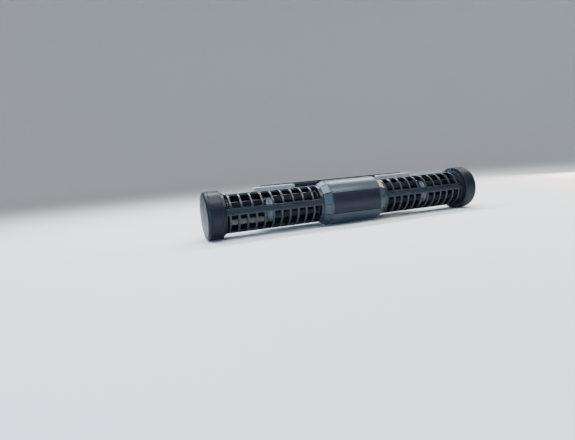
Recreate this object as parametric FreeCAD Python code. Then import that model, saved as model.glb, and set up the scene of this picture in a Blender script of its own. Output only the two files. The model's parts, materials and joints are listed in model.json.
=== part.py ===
import FreeCAD, Part
import math
import os

# Twin-rotor wave maker pump on a magnetic glass bracket.
# A sealed motor block sits in the middle. A grille cage with a vaned rotor in it
# stands out on each side, all on one axis, and each cage ends in a round cap.
#
# Millimetres, +Z up, +X along the rotor axis to the right, -Y to the front.
# Shapes are drawn about the rotor axis and moved forward by AXIS_TO_GLASS when
# they are saved, so the saved origin is on the aquarium glass behind the motor.
# Angles about the axis are in degrees: 0 faces the front, 90 faces up.
# The right-hand pieces are drawn, and the left-hand ones are their mirror image.

V = FreeCAD.Vector
ORIGIN = V(0, 0, 0)
MIRROR_NORMAL = V(1, 0, 0)
TURN_AXIS = V(-1, 0, 0)

# Overall sizes
AXIS_TO_GLASS = 38.6
HALF_LENGTH = 188.5
CAP_RADIUS = 28.5
BODY_RADIUS = 28.2
CAGE_RADIUS = 23.2
CAGE_WALL = 2.4
FIT_GAP = 0.05
RUN_GAP = 0.35

# Stations along the axis, for the right-hand side
BODY_END = 32.6
COLLAR_BAND_START = 32.9
COLLAR_BAND_END = 34.7
COLLAR_END = 43.2
CAGE_START = 43.6
WINDOWS_START = 47.1
WINDOWS_END = 165.2
CAGE_END = 168.0
CAP_START = 168.6
CAP_SEAM = 183.0

# Motor housing
HOUSING_INNER = 25.4
PANEL_LOW = -28.0
PANEL_HIGH = 27.0
PANEL_FLOOR = 26.9
PANEL_RADIUS = 28.05
PANEL_SIDE_GAP = 0.7
RAIL_CENTRE = 20.5
RAIL_WEB_HALF = 1.5
RAIL_HEAD_HALF = 3.5
RAIL_NECK_RADIUS = 30.4
RAIL_TOP_RADIUS = 32.7
RAIL_HALF_ANGLE = 40.0

# Cable gland, on the lower rear of the housing
GLAND_ANGLE = 220.0
GLAND_BORE = 3.5
GLAND_STEM = 4.95
GLAND_FLANGE = 6.6
GLAND_STEM_START = 24.0
GLAND_SEAT = 30.4
GLAND_NUT_START = 32.1
GLAND_END = 36.1

# Collar and bayonet
COLLAR_SIDES = 12
COLLAR_SMALL_RADIUS = 24.1
COLLAR_BORE = 21.4
COLLAR_LEDGE = 19.0
SEAL_HALF = 0.9
BAYONET_LUGS = (30.0, 150.0, 270.0)
BAYONET_TWIST = 25.0
BAYONET_LUG_HALF = 7.0
BAYONET_PLAY = 2.0
BAYONET_GROOVE_RADIUS = 22.5
BAYONET_GROOVE = (37.5, 40.5)

# Motor inside
WELL_OUTER = 13.0
WELL_INNER = 11.5
WELL_START = 7.0
WELL_FLOOR = 9.0
WELL_FLANGE_START = 34.0
WELL_END = 36.0
CORE_HALF = 24.0
CORE_OUTER = 22.4
YOKE_INNER = 18.4
TOOTH_TIP = 13.4
TOOTH_HALF = 2.0
TEETH = 6
COIL_HALF_WIDTH = 4.4
COIL_HALF_LENGTH = 26.6
COIL_INNER = 13.9
COIL_OUTER = 17.6

# Rotor
SHAFT_RADIUS = 1.5
SHAFT_START = 9.6
SHAFT_END = 168.4
MAGNET_RADIUS = 10.3
SLEEVE_RADIUS = 11.0
SLEEVE_START = 15.0
SLEEVE_WALL = 0.6
MAGNET_END = 38.0
NECK_RADIUS = 5.0
ROTOR_RADIUS = 18.6
INNER_DISC = (47.0, 49.2)
OUTER_DISC = (160.0, 162.0)
HUB_RADIUS = 14.7
HUB = (106.2, 113.8)
HUB_FLANGE = 1.5
VANES = 4
VANE_INNER_EDGE = 10.8
VANE_THICKNESS = 1.4
INNER_VANE_ANGLE = 61.0
OUTER_VANE_ANGLE = 48.0

# Cage windows
PARTING_ANGLE = 14.0
UPPER_WINDOW = (19.0, 80.0)
LOWER_WINDOW = (-82.0, -1.0)
FIRST_RIB = 57.2
UPPER_PITCH = 12.74
UPPER_RIBS = 9
UPPER_RIB_WIDTH = 2.0
LOWER_PITCH = 10.38
LOWER_RIBS = 11
LOWER_RIB_WIDTH = 2.2
GROOVE_ANGLES = (12.6, 15.2)
GROOVE_DEPTH = 1.0
GROOVE_START = 50.0

# End cap
CAP_WALL = 2.2
CROWN_EDGE = 18.0
CROWN_RISE = 1.1
COVER_SPIGOT_INNER = 24.2
NECK_SLEEVE_START = 164.4
GUSSET_ANGLES = (90.0, -90.0, 150.0, 210.0)
GUSSET_HALF = 0.8
BUSH_OUTER = 4.0

# Magnetic bracket
PLATE_HALF_LENGTH = 109.0
PLATE_FRONT = 34.6
PLATE_BACK = 36.6
PLATE_BOTTOM = -17.0
PLATE_TOP = 28.1
PAD_BACK = AXIS_TO_GLASS
ARM_START = 27.0
ARM_FRONT = 29.3
ARM_BOTTOM = 6.0
SADDLE_FRONT = 22.0
SADDLE_INNER_END = 13.0
SADDLE_OUTER_END = 28.0
SADDLE_HALF_HEIGHT = 17.0
POD_START = 61.0
POD_END = 118.0
POD_FRONT = 26.2
POD_BOTTOM = -19.0
POD_TOP = 26.7
POCKET_X = (68.0, 102.0)
POCKET_Z = (-15.5, 23.4)
POCKET_FRONT = 28.2
SCREW_X = (64.6, 105.4)
SCREW_Z = (-11.0, 19.0)
SCREW_HOLE_START = 29.9
SCREW_SHANK = 1.1
SCREW_HEAD = 2.2


def box(x, y, z):
    """Box from three (low, high) pairs."""
    corner = V(x[0], y[0], z[0])
    return Part.makeBox(x[1] - x[0], y[1] - y[0], z[1] - z[0], corner)


def outward(angle):
    """Unit vector that points away from the rotor axis at an angle."""
    turn = math.radians(angle)
    return V(0, -math.cos(turn), math.sin(turn))


def turned_face(face, start, sweep):
    """Turn a face that was drawn at angle 0 about the rotor axis."""
    face.rotate(ORIGIN, TURN_AXIS, start)
    return face.revolve(ORIGIN, TURN_AXIS, sweep)


def turned(outline, start=0.0, sweep=360.0):
    """Turn a closed outline of (x, radius) points about the rotor axis."""
    points = [V(x, -radius, 0) for x, radius in outline]
    face = Part.Face(Part.makePolygon(points + points[:1]))
    return turned_face(face, start, sweep)


def ring(span, radii, start=0.0, sweep=360.0):
    """Plain ring, or a sector of one, from (start, end) and (inner, outer)."""
    outline = [
        (span[0], radii[0]),
        (span[1], radii[0]),
        (span[1], radii[1]),
        (span[0], radii[1]),
    ]
    return turned(outline, start, sweep)


def disc(span, radius, bore=SHAFT_RADIUS + FIT_GAP):
    """Disc on the rotor axis with a bore for the shaft."""
    return ring(span, (bore, radius))


def spoke(x, tangent_half, radii, angle):
    """Straight bar along a radius: its x span, half width and (inner, outer) reach."""
    bar = box(x, (-radii[1], -radii[0]), (-tangent_half, tangent_half))
    bar.rotate(ORIGIN, TURN_AXIS, angle)
    return bar


def joined(shapes):
    """One solid from several that meet."""
    return shapes[0].fuse(shapes[1:]).removeSplitter()


# Motor block ---------------------------------------------------------------


def housing_front():
    """Front half of the motor housing, with a recess for the badge panel."""
    shell = ring((-BODY_END, BODY_END), (HOUSING_INNER, BODY_RADIUS), -90, 180)
    recess = ring(
        (-BODY_END - 1, BODY_END + 1),
        (PANEL_FLOOR, BODY_RADIUS + 1),
        PANEL_LOW,
        PANEL_HIGH - PANEL_LOW,
    )
    return shell.cut(recess)


def badge_panel():
    """Plain curved panel that fills the recess of the front housing."""
    sweep = PANEL_HIGH - PANEL_LOW - 2 * PANEL_SIDE_GAP
    radii = (PANEL_FLOOR + FIT_GAP, PANEL_RADIUS)
    return ring((-BODY_END, BODY_END), radii, PANEL_LOW + PANEL_SIDE_GAP, sweep)


def tee_outline(centre, clearance, bottom):
    """Outline of the aiming rail, or of its slot when clearance is given."""
    web = RAIL_WEB_HALF + clearance
    head = RAIL_HEAD_HALF + clearance
    neck = RAIL_NECK_RADIUS - clearance
    top = RAIL_TOP_RADIUS + clearance
    return [
        (centre - web, bottom),
        (centre + web, bottom),
        (centre + web, neck),
        (centre + head, neck),
        (centre + head, top),
        (centre - head, top),
        (centre - head, neck),
        (centre - web, neck),
    ]


def housing_rear():
    """Rear half of the housing with two aiming rails and the gland boss."""
    pieces = [ring((-BODY_END, BODY_END), (HOUSING_INNER, BODY_RADIUS), 90, 180)]
    for centre in (-RAIL_CENTRE, RAIL_CENTRE):
        outline = tee_outline(centre, 0.0, BODY_RADIUS - 0.5)
        pieces.append(turned(outline, 180 - RAIL_HALF_ANGLE, 2 * RAIL_HALF_ANGLE))
    out = outward(GLAND_ANGLE)
    boss_start = HOUSING_INNER + 0.5
    boss_radius = GLAND_FLANGE + 0.4
    boss = Part.makeCylinder(boss_radius, GLAND_SEAT - boss_start, out * boss_start, out)
    pieces.append(boss)
    hole = Part.makeCylinder(GLAND_STEM + FIT_GAP, GLAND_END, out * 18, out)
    return joined(pieces).cut(hole)


def cable_gland():
    """Screwed sleeve that the supply cable passes through."""
    out = outward(GLAND_ANGLE)
    stem_length = GLAND_SEAT - GLAND_STEM_START
    stem = Part.makeCylinder(GLAND_STEM, stem_length, out * GLAND_STEM_START, out)
    flange_length = GLAND_NUT_START - GLAND_SEAT
    flange = Part.makeCylinder(GLAND_FLANGE, flange_length, out * GLAND_SEAT, out)
    bore = Part.makeCylinder(GLAND_BORE, GLAND_END, out * 18, out)
    return joined([stem, flange]).cut(bore)


def gland_nut():
    """Six-sided nut that squeezes the gland round the cable."""
    corners = []
    for index in range(7):
        turn = math.radians(60 * index)
        corners.append(V(GLAND_FLANGE * math.cos(turn), GLAND_FLANGE * math.sin(turn), 0))
    face = Part.Face(Part.makePolygon(corners))
    nut = face.extrude(V(0, 0, GLAND_END - GLAND_NUT_START))
    nut = nut.cut(Part.makeCylinder(GLAND_BORE, GLAND_END))
    out = outward(GLAND_ANGLE)
    turn = FreeCAD.Rotation(V(0, 0, 1), out)
    nut.Placement = FreeCAD.Placement(out * GLAND_NUT_START, turn)
    return nut


def polygon_wire(x, radius, sides):
    """Regular polygon about the rotor axis, with a corner at the front."""
    corners = []
    for index in range(sides + 1):
        corners.append(V(x, 0, 0) + outward(360 / sides * index) * radius)
    return Part.makePolygon(corners)


def collar():
    """Faceted shoulder that closes the housing and takes the cage's bayonet."""
    spigot = ring((30.0, COLLAR_BAND_START), (COLLAR_LEDGE, HOUSING_INNER - 0.1))
    band = ring((COLLAR_BAND_START, COLLAR_BAND_END), (COLLAR_LEDGE, BODY_RADIUS))
    large = polygon_wire(COLLAR_BAND_END, BODY_RADIUS, COLLAR_SIDES)
    small = polygon_wire(COLLAR_END, COLLAR_SMALL_RADIUS, COLLAR_SIDES)
    taper = Part.makeLoft([large, small], True, True)
    taper = taper.cut(ring((COLLAR_BAND_START, COLLAR_END + 1), (0, COLLAR_LEDGE)))
    body = joined([spigot, band, taper])
    tools = [ring((32.0, COLLAR_END + 1), (0, COLLAR_BORE))]
    half = BAYONET_LUG_HALF + BAYONET_PLAY
    for lug in BAYONET_LUGS:
        sweep = BAYONET_TWIST + 2 * half
        radii = (COLLAR_BORE - 1, BAYONET_GROOVE_RADIUS)
        tools.append(ring(BAYONET_GROOVE, radii, lug - half, sweep))
        entry = (BAYONET_GROOVE[0], COLLAR_END + 1)
        tools.append(ring(entry, radii, lug + BAYONET_TWIST - half, 2 * half))
    for index in range(COLLAR_SIDES):
        angle = 360 / COLLAR_SIDES * index
        notch = spoke((COLLAR_BAND_END, 41.6), 0.3, (0, 1.0), 0)
        notch.translate(V(0, 0.5 - BODY_RADIUS, 0))
        slope = math.degrees(math.atan2(BODY_RADIUS - COLLAR_SMALL_RADIUS, COLLAR_END - COLLAR_BAND_END))
        notch.rotate(V(COLLAR_BAND_END, -BODY_RADIUS, 0), V(0, 0, 1), slope)
        notch.rotate(ORIGIN, TURN_AXIS, angle)
        tools.append(notch)
    return body.cut(tools)


def magnet_well():
    """Sealed cup in which the rotor's drive magnet turns."""
    outline = [
        (WELL_START, 0),
        (WELL_FLOOR, 0),
        (WELL_FLOOR, BUSH_OUTER - 0.45),
        (13.0, BUSH_OUTER - 0.45),
        (13.0, 5.2),
        (WELL_FLOOR, 5.2),
        (WELL_FLOOR, WELL_INNER),
        (WELL_END, WELL_INNER),
        (WELL_END, COLLAR_BORE - 0.1),
        (WELL_FLANGE_START, COLLAR_BORE - 0.1),
        (WELL_FLANGE_START, WELL_OUTER),
        (WELL_START, WELL_OUTER),
    ]
    return turned(outline)


def well_seal():
    """Rubber ring squeezed between the collar's ledge and the well's flange."""
    middle = (COLLAR_LEDGE + COLLAR_BORE) / 2 + 0.05
    return Part.makeTorus(middle, SEAL_HALF, V(33.0, 0, 0), V(1, 0, 0))


def inner_bush():
    """Ceramic bush at the bottom of the well."""
    return ring((WELL_FLOOR, 14.0), (SHAFT_RADIUS + FIT_GAP, BUSH_OUTER - 0.5))


def stator_core():
    """Laminated steel ring with six teeth that point at the magnets."""
    pieces = [ring((-CORE_HALF, CORE_HALF), (YOKE_INNER, CORE_OUTER))]
    for index in range(TEETH):
        reach = (TOOTH_TIP, YOKE_INNER + 1)
        pieces.append(spoke((-CORE_HALF, CORE_HALF), TOOTH_HALF, reach, 60 * index))
    return joined(pieces)


def stator_coils():
    """One copper winding round each tooth."""
    coils = []
    for index in range(TEETH):
        reach = (COIL_INNER, COIL_OUTER)
        length = (-COIL_HALF_LENGTH, COIL_HALF_LENGTH)
        winding = spoke(length, COIL_HALF_WIDTH, reach, 60 * index)
        tooth_length = (-CORE_HALF - 0.1, CORE_HALF + 0.1)
        tooth = spoke(tooth_length, TOOTH_HALF + 0.1, (10.0, 20.0), 60 * index)
        coils.append(winding.cut(tooth))
    return Part.makeCompound(coils)


def potting_resin():
    """Cast resin between the stator and the housing, open at the gland."""
    fill = ring((-29.8, 29.8), (CORE_OUTER + 0.2, HOUSING_INNER - 0.2))
    out = outward(GLAND_ANGLE)
    return fill.cut(Part.makeCylinder(GLAND_STEM + 0.3, 12, out * 18, out))


def sensor_board():
    """Round circuit board between the two wells, with three sensors on it."""
    pieces = [ring((-0.8, 0.8), (2.0, 12.9))]
    for angle in (0, 120, 240):
        pieces.append(spoke((0.7, 2.4), 1.6, (9.0, 11.6), angle))
    return joined(pieces)


# Cage ----------------------------------------------------------------------


def windows(limits, pitch, count, rib_width):
    """Cutters for one row of openings: everything between the ribs."""
    edges = [WINDOWS_START]
    for index in range(count):
        centre = FIRST_RIB + pitch * index
        edges.append(centre - rib_width / 2)
        edges.append(centre + rib_width / 2)
    edges.append(WINDOWS_END)
    cutters = []
    radii = (CAGE_RADIUS - CAGE_WALL - 1, CAGE_RADIUS + 1)
    for index in range(0, len(edges), 2):
        span = (edges[index], edges[index + 1])
        cutters.append(ring(span, radii, limits[0], limits[1] - limits[0]))
    return cutters


def parting_groove():
    """Cutter for the shadow line where the two grilles meet at the front."""
    radii = (CAGE_RADIUS - GROOVE_DEPTH, CAGE_RADIUS + 1)
    sweep = GROOVE_ANGLES[1] - GROOVE_ANGLES[0]
    return ring((GROOVE_START, CAGE_END + 1), radii, GROOVE_ANGLES[0], sweep)


def half_tube(start, limits):
    """Half of the cage's tube, in two sectors that meet across its openings.

    The openings then notch the sectors' edges, so no curved face has a hole in it.
    """
    radii = (CAGE_RADIUS - CAGE_WALL, CAGE_RADIUS)
    middle = (limits[0] + limits[1]) / 2
    first = ring((CAGE_START, CAGE_END), radii, start, middle - start)
    second = ring((CAGE_START, CAGE_END), radii, middle, start + 180 - middle)
    return first.fuse(second)


def upper_grille():
    """Upper half of the cage, with wide openings at the front."""
    shell = half_tube(PARTING_ANGLE, UPPER_WINDOW)
    cutters = windows(UPPER_WINDOW, UPPER_PITCH, UPPER_RIBS, UPPER_RIB_WIDTH)
    return shell.cut(cutters + [parting_groove()])


def lower_grille():
    """Lower half of the cage, with a finer grille and the solid front spine."""
    shell = half_tube(PARTING_ANGLE - 180, LOWER_WINDOW)
    cutters = windows(LOWER_WINDOW, LOWER_PITCH, LOWER_RIBS, LOWER_RIB_WIDTH)
    return shell.cut(cutters + [parting_groove()])


def lock_ring():
    """Ring that joins the grilles and carries the bayonet lugs."""
    outer = CAGE_RADIUS - CAGE_WALL - 0.1
    pieces = [ring((37.2, 46.0), (ROTOR_RADIUS + 0.6, outer))]
    for lug in BAYONET_LUGS:
        radii = (outer - 0.5, BAYONET_GROOVE_RADIUS - RUN_GAP)
        span = (BAYONET_GROOVE[0] + 0.4, BAYONET_GROOVE[1] - 0.4)
        pieces.append(ring(span, radii, lug - BAYONET_LUG_HALF, 2 * BAYONET_LUG_HALF))
    return joined(pieces)


def gusset(angle):
    """Three-cornered brace between the cage and the cap, with a hole in it."""
    foot = CAGE_RADIUS + 0.1
    outer = [(162.4, foot), (CAP_START + 0.5, foot), (CAP_START + 0.5, CAP_RADIUS - 0.4)]
    step = foot + 1.1
    inner = [(165.6, step), (CAP_START - 0.5, step), (CAP_START - 0.5, CAP_RADIUS - 1.8)]
    plates = []
    for outline in (outer, inner):
        points = [V(x, -radius, -GUSSET_HALF) for x, radius in outline]
        face = Part.Face(Part.makePolygon(points + points[:1]))
        plates.append(face.extrude(V(0, 0, 2 * GUSSET_HALF)))
    brace = plates[0].cut(plates[1])
    brace.rotate(ORIGIN, TURN_AXIS, angle)
    return brace


def end_cap():
    """Drum at the cage's end: neck sleeve, braces, floor and outer wall."""
    outline = [
        (NECK_SLEEVE_START, CAGE_RADIUS + FIT_GAP),
        (CAP_START, CAGE_RADIUS + FIT_GAP),
        (CAP_START, 6.8),
        (CAP_START + CAP_WALL, 6.8),
        (CAP_START + CAP_WALL, CAP_RADIUS - CAP_WALL),
        (CAP_SEAM, CAP_RADIUS - CAP_WALL),
        (CAP_SEAM, CAP_RADIUS),
        (170.4, CAP_RADIUS),
        (170.2, CAP_RADIUS - 0.35),
        (169.8, CAP_RADIUS - 0.35),
        (169.6, CAP_RADIUS),
        (CAP_START, CAP_RADIUS),
        (CAP_START, CAGE_RADIUS + 1.0),
        (NECK_SLEEVE_START, CAGE_RADIUS + 0.6),
    ]
    pieces = [turned(outline)]
    for angle in GUSSET_ANGLES:
        pieces.append(gusset(angle))
    body = joined(pieces)
    return body.cut(ring((160, CAP_START), (0, CAGE_RADIUS + FIT_GAP)))


def cap_cover():
    """Domed cover that closes the cap, with a spigot inside the drum."""
    rim = V(HALF_LENGTH - CROWN_RISE, -CROWN_EDGE, 0)
    shoulder = Part.Arc(V(CAP_SEAM, -CAP_RADIUS, 0), V(186.4, -25.8, 0), rim)
    sphere = (CROWN_EDGE**2 + CROWN_RISE**2) / (2 * CROWN_RISE)
    half_edge = CROWN_EDGE / 2
    half_x = HALF_LENGTH - sphere + math.sqrt(sphere**2 - half_edge**2)
    crown = Part.Arc(rim, V(half_x, -half_edge, 0), V(HALF_LENGTH, 0, 0))
    spigot_radius = CAP_RADIUS - CAP_WALL - FIT_GAP
    inside = [
        (HALF_LENGTH, 0),
        (186.0, 0),
        (185.2, 15.0),
        (183.4, COVER_SPIGOT_INNER),
        (180.0, COVER_SPIGOT_INNER),
        (180.0, spigot_radius),
        (CAP_SEAM, spigot_radius),
        (CAP_SEAM, CAP_RADIUS),
    ]
    points = [V(x, -radius, 0) for x, radius in inside]
    edges = [shoulder.toShape(), crown.toShape()]
    edges += Part.makePolygon(points).Edges
    face = Part.Face(Part.Wire(Part.__sortEdges__(edges)))
    return turned_face(face, 0, 360)


def bush_holder():
    """Spider across the cage's end that carries the outer bush."""
    pieces = [ring((163.6, 168.3), (BUSH_OUTER + FIT_GAP, 6.5))]
    rim = CAGE_RADIUS - CAGE_WALL - 0.1
    pieces.append(ring((165.4, CAGE_END), (rim - 1.4, rim)))
    for angle in (45, 165, 285):
        pieces.append(spoke((165.4, CAGE_END), 1.2, (6.0, rim - 1), angle))
    return joined(pieces)


def end_bush():
    """Ceramic bush for the outer end of the shaft."""
    return ring((163.6, 168.3), (SHAFT_RADIUS + FIT_GAP, BUSH_OUTER))


# Rotor ---------------------------------------------------------------------


def shaft():
    """Ceramic shaft that the whole rotor is fixed to."""
    return ring((SHAFT_START, SHAFT_END), (0, SHAFT_RADIUS))


def drive_magnet():
    """Round magnet that the stator turns."""
    return disc((SLEEVE_START + SLEEVE_WALL, MAGNET_END), MAGNET_RADIUS)


def magnet_sleeve():
    """Plastic cup that seals the magnet from the water."""
    cup = disc((SLEEVE_START, MAGNET_END), SLEEVE_RADIUS)
    inside = (SLEEVE_START + SLEEVE_WALL - 0.02, MAGNET_END + 1)
    return cup.cut(ring(inside, (0, MAGNET_RADIUS + FIT_GAP)))


def inner_disc():
    """Rotor's disc at the motor end, with its neck and the sleeve's plug."""
    bore = SHAFT_RADIUS + FIT_GAP
    outline = [
        (MAGNET_END + 0.02, bore),
        (INNER_DISC[1], bore),
        (INNER_DISC[1], ROTOR_RADIUS),
        (INNER_DISC[0], ROTOR_RADIUS),
        (INNER_DISC[0], NECK_RADIUS),
        (40.0, NECK_RADIUS),
        (40.0, SLEEVE_RADIUS),
        (MAGNET_END + 0.02, SLEEVE_RADIUS),
    ]
    return turned(outline)


def vane_set(span, flange, first_angle):
    """Straight vanes, evenly spaced, joined by a flange against the mid hub."""
    pieces = [disc(flange, HUB_RADIUS)]
    for index in range(VANES):
        angle = first_angle + 360 / VANES * index
        reach = (VANE_INNER_EDGE, ROTOR_RADIUS)
        pieces.append(spoke(span, VANE_THICKNESS / 2, reach, angle))
    return joined(pieces)


def inner_vanes():
    """Vanes between the motor end and the mid hub."""
    flange = (HUB[0] - HUB_FLANGE, HUB[0])
    return vane_set((INNER_DISC[1], HUB[0]), flange, INNER_VANE_ANGLE)


def outer_vanes():
    """Vanes between the mid hub and the cap end."""
    flange = (HUB[1], HUB[1] + HUB_FLANGE)
    return vane_set((HUB[1], OUTER_DISC[0]), flange, OUTER_VANE_ANGLE)


def mid_hub():
    """Solid drum half way along the rotor."""
    return disc(HUB, HUB_RADIUS)


def outer_disc():
    """Rotor's disc at the cap end."""
    return disc(OUTER_DISC, ROTOR_RADIUS)


def thrust_washers():
    """Slippery washers at both ends of the rotor."""
    washers = []
    for start in (SLEEVE_START - 0.65, OUTER_DISC[1] + 0.05):
        washers.append(ring((start, start + 0.6), (SHAFT_RADIUS + FIT_GAP, 3.6)))
    return Part.makeCompound(washers)


# Bracket -------------------------------------------------------------------


def screw_places():
    """Axis points of the pod screws on the right-hand side."""
    return [(x, z) for x in SCREW_X for z in SCREW_Z]


def rounded_box(x, y, z, radius):
    """Box with the four corners that run front to back rounded."""
    block = box(x, y, z)
    edges = [e for e in block.Edges if abs(e.tangentAt(e.FirstParameter).y) > 0.9]
    return block.makeFillet(radius, edges)


def rail_slot(centre):
    """Cutter for the curved slot that a housing rail slides in."""
    outline = tee_outline(centre, RUN_GAP, BODY_RADIUS - 0.5)
    return turned(outline, 120, 120)


def bracket_frame():
    """Back plate with its two arms and the saddle that holds the motor block."""
    plate_x = (-PLATE_HALF_LENGTH, PLATE_HALF_LENGTH)
    plate_y = (PLATE_FRONT, PLATE_BACK)
    pieces = [rounded_box(plate_x, plate_y, (PLATE_BOTTOM, PLATE_TOP), 5.0)]
    for sign in (-1, 1):
        arm_x = sorted((sign * ARM_START, sign * (POD_START - 0.1)))
        pieces.append(box(arm_x, (ARM_FRONT, PLATE_FRONT), (ARM_BOTTOM, POD_TOP)))
        jaw_x = sorted((sign * SADDLE_INNER_END, sign * SADDLE_OUTER_END))
        jaw_z = (-SADDLE_HALF_HEIGHT, SADDLE_HALF_HEIGHT)
        pieces.append(box(jaw_x, (SADDLE_FRONT, PLATE_FRONT), jaw_z))
    body = joined(pieces)
    clearance = BODY_RADIUS + RUN_GAP
    tools = [ring((-SADDLE_OUTER_END - 1, SADDLE_OUTER_END + 1), (0, clearance))]
    for sign in (-1, 1):
        tools.append(rail_slot(sign * RAIL_CENTRE))
        for x, z in screw_places():
            place = V(sign * x, PLATE_FRONT - 1, z)
            tools.append(Part.makeCylinder(SCREW_SHANK + FIT_GAP, 5, place, V(0, 1, 0)))
            seat = V(sign * x, PLATE_BACK - 1.1, z)
            tools.append(Part.makeCylinder(SCREW_HEAD + FIT_GAP, 5, seat, V(0, 1, 0)))
    tools.append(box((-10, 10), (30, 40), (-30, -5)))
    return body.cut(tools)


def magnet_pod():
    """Pale housing behind the cage, with a pocket for the magnet at its back."""
    block = rounded_box((POD_START, POD_END), (POD_FRONT, PLATE_FRONT), (POD_BOTTOM, POD_TOP), 3.0)
    tools = [box(POCKET_X, (POCKET_FRONT, PLATE_FRONT + 1), POCKET_Z)]
    for x, z in screw_places():
        place = V(x, SCREW_HOLE_START, z)
        tools.append(Part.makeCylinder(SCREW_SHANK + FIT_GAP, 6, place, V(0, 1, 0)))
    return block.cut(tools)


def glass_magnet():
    """Block magnet that holds the bracket on the glass."""
    x = (POCKET_X[0] + 0.2, POCKET_X[1] - 0.2)
    z = (POCKET_Z[0] + 0.2, POCKET_Z[1] - 0.2)
    return box(x, (POCKET_FRONT + 0.1, PLATE_FRONT - 0.1), z)


def glass_pad():
    """Rubber pad between the bracket and the glass."""
    return rounded_box((69.5, 100.5), (PLATE_BACK, PAD_BACK), (-14.0, 24.4), 4.0)


def centre_pad():
    """Smaller rubber pad behind the motor block."""
    return rounded_box((-9.0, 9.0), (PLATE_BACK, PAD_BACK), (-4.0, 23.0), 3.0)


def pod_screws():
    """Screws that hold both pods to the back plate."""
    screws = []
    for sign in (-1, 1):
        for x, z in screw_places():
            head_start = PLATE_BACK - 1.1
            shank = Part.makeCylinder(SCREW_SHANK, 5.0, V(sign * x, head_start - 5, z), V(0, 1, 0))
            head = Part.makeCylinder(SCREW_HEAD, 1.0, V(sign * x, head_start, z), V(0, 1, 0))
            slot = box((sign * x - 3, sign * x + 3), (head_start + 0.5, PAD_BACK), (z - 0.3, z + 0.3))
            screws.append(shank.fuse(head).cut(slot))
    return Part.makeCompound(screws)


# Saving --------------------------------------------------------------------

MIDDLE_PARTS = {
    "housing_front": housing_front,
    "housing_rear": housing_rear,
    "badge_panel": badge_panel,
    "cable_gland": cable_gland,
    "gland_nut": gland_nut,
    "stator_core": stator_core,
    "stator_coils": stator_coils,
    "potting_resin": potting_resin,
    "sensor_board": sensor_board,
    "bracket_frame": bracket_frame,
    "centre_pad": centre_pad,
    "pod_screws": pod_screws,
}

SIDE_PARTS = {
    "collar": collar,
    "magnet_well": magnet_well,
    "well_seal": well_seal,
    "inner_bush": inner_bush,
    "upper_grille": upper_grille,
    "lower_grille": lower_grille,
    "lock_ring": lock_ring,
    "end_cap": end_cap,
    "cap_cover": cap_cover,
    "bush_holder": bush_holder,
    "end_bush": end_bush,
    "shaft": shaft,
    "drive_magnet": drive_magnet,
    "magnet_sleeve": magnet_sleeve,
    "inner_disc": inner_disc,
    "inner_vanes": inner_vanes,
    "mid_hub": mid_hub,
    "outer_vanes": outer_vanes,
    "outer_disc": outer_disc,
    "thrust_washers": thrust_washers,
    "magnet_pod": magnet_pod,
    "glass_magnet": glass_magnet,
    "glass_pad": glass_pad,
}


def save(name, shape):
    """Move a shape from the rotor axis into the saved frame and write it."""
    placed = shape.copy()
    placed.translate(V(0, -AXIS_TO_GLASS, 0))
    placed.exportStep("parts/" + name + ".step")
    print(name, "valid" if placed.isValid() else "NOT VALID", len(placed.Solids), "solids")


def main():
    """Build and write every piece."""
    os.makedirs("parts", exist_ok=True)
    for name, make in MIDDLE_PARTS.items():
        save(name, make())
    for name, make in SIDE_PARTS.items():
        shape = make()
        save("right_" + name, shape)
        save("left_" + name, shape.mirror(ORIGIN, MIRROR_NORMAL))


main()
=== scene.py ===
"""Looks of a twin-rotor wave maker pump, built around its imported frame.

Shapes are drawn in millimetres about the rotor axis, which runs along X, and are
moved into the frame when a piece is finished. Angles about the axis are in degrees:
0 faces the front and 90 faces up. Right-hand pieces are drawn, and left-hand ones
are their mirror image.
"""

import json
import logging
import math
from collections.abc import Callable
from dataclasses import dataclass
from enum import Enum

import bmesh
import bpy
from mathutils import Matrix, Vector


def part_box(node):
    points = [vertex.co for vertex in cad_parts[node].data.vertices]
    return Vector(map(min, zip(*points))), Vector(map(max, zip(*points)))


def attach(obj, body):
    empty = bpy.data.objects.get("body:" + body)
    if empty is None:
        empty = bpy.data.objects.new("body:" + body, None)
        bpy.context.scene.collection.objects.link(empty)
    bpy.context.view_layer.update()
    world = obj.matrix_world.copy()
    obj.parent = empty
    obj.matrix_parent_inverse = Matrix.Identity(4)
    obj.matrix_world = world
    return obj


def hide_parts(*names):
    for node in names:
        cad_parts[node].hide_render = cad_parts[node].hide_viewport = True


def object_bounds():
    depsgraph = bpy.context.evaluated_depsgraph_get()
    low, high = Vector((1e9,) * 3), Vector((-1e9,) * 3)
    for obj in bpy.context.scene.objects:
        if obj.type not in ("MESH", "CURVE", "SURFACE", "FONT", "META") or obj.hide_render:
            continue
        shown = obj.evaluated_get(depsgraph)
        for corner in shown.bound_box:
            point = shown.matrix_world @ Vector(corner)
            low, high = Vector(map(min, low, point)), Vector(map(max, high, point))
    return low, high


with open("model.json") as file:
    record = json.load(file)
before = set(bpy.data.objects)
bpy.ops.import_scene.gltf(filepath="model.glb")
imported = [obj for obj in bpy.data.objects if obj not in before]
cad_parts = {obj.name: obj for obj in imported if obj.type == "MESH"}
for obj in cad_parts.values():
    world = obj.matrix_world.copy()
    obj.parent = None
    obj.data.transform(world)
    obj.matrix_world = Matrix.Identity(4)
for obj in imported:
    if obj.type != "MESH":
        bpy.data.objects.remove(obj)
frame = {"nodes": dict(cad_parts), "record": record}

CAD_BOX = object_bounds()
MM = 0.001
# Vertices closer than this are one, in millimetres.
WELD = 0.0005
# Edges sharper than this stay crisp when a piece is shaded, in degrees.
CREASE = 32.0
# Distance of an aiming rail and of its slot from the middle, in millimetres.
RAIL_CENTRE = 20.5
LOG = logging.getLogger("wave_pump")

Point = tuple[float, float]
Triple = tuple[float, float, float]


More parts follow.
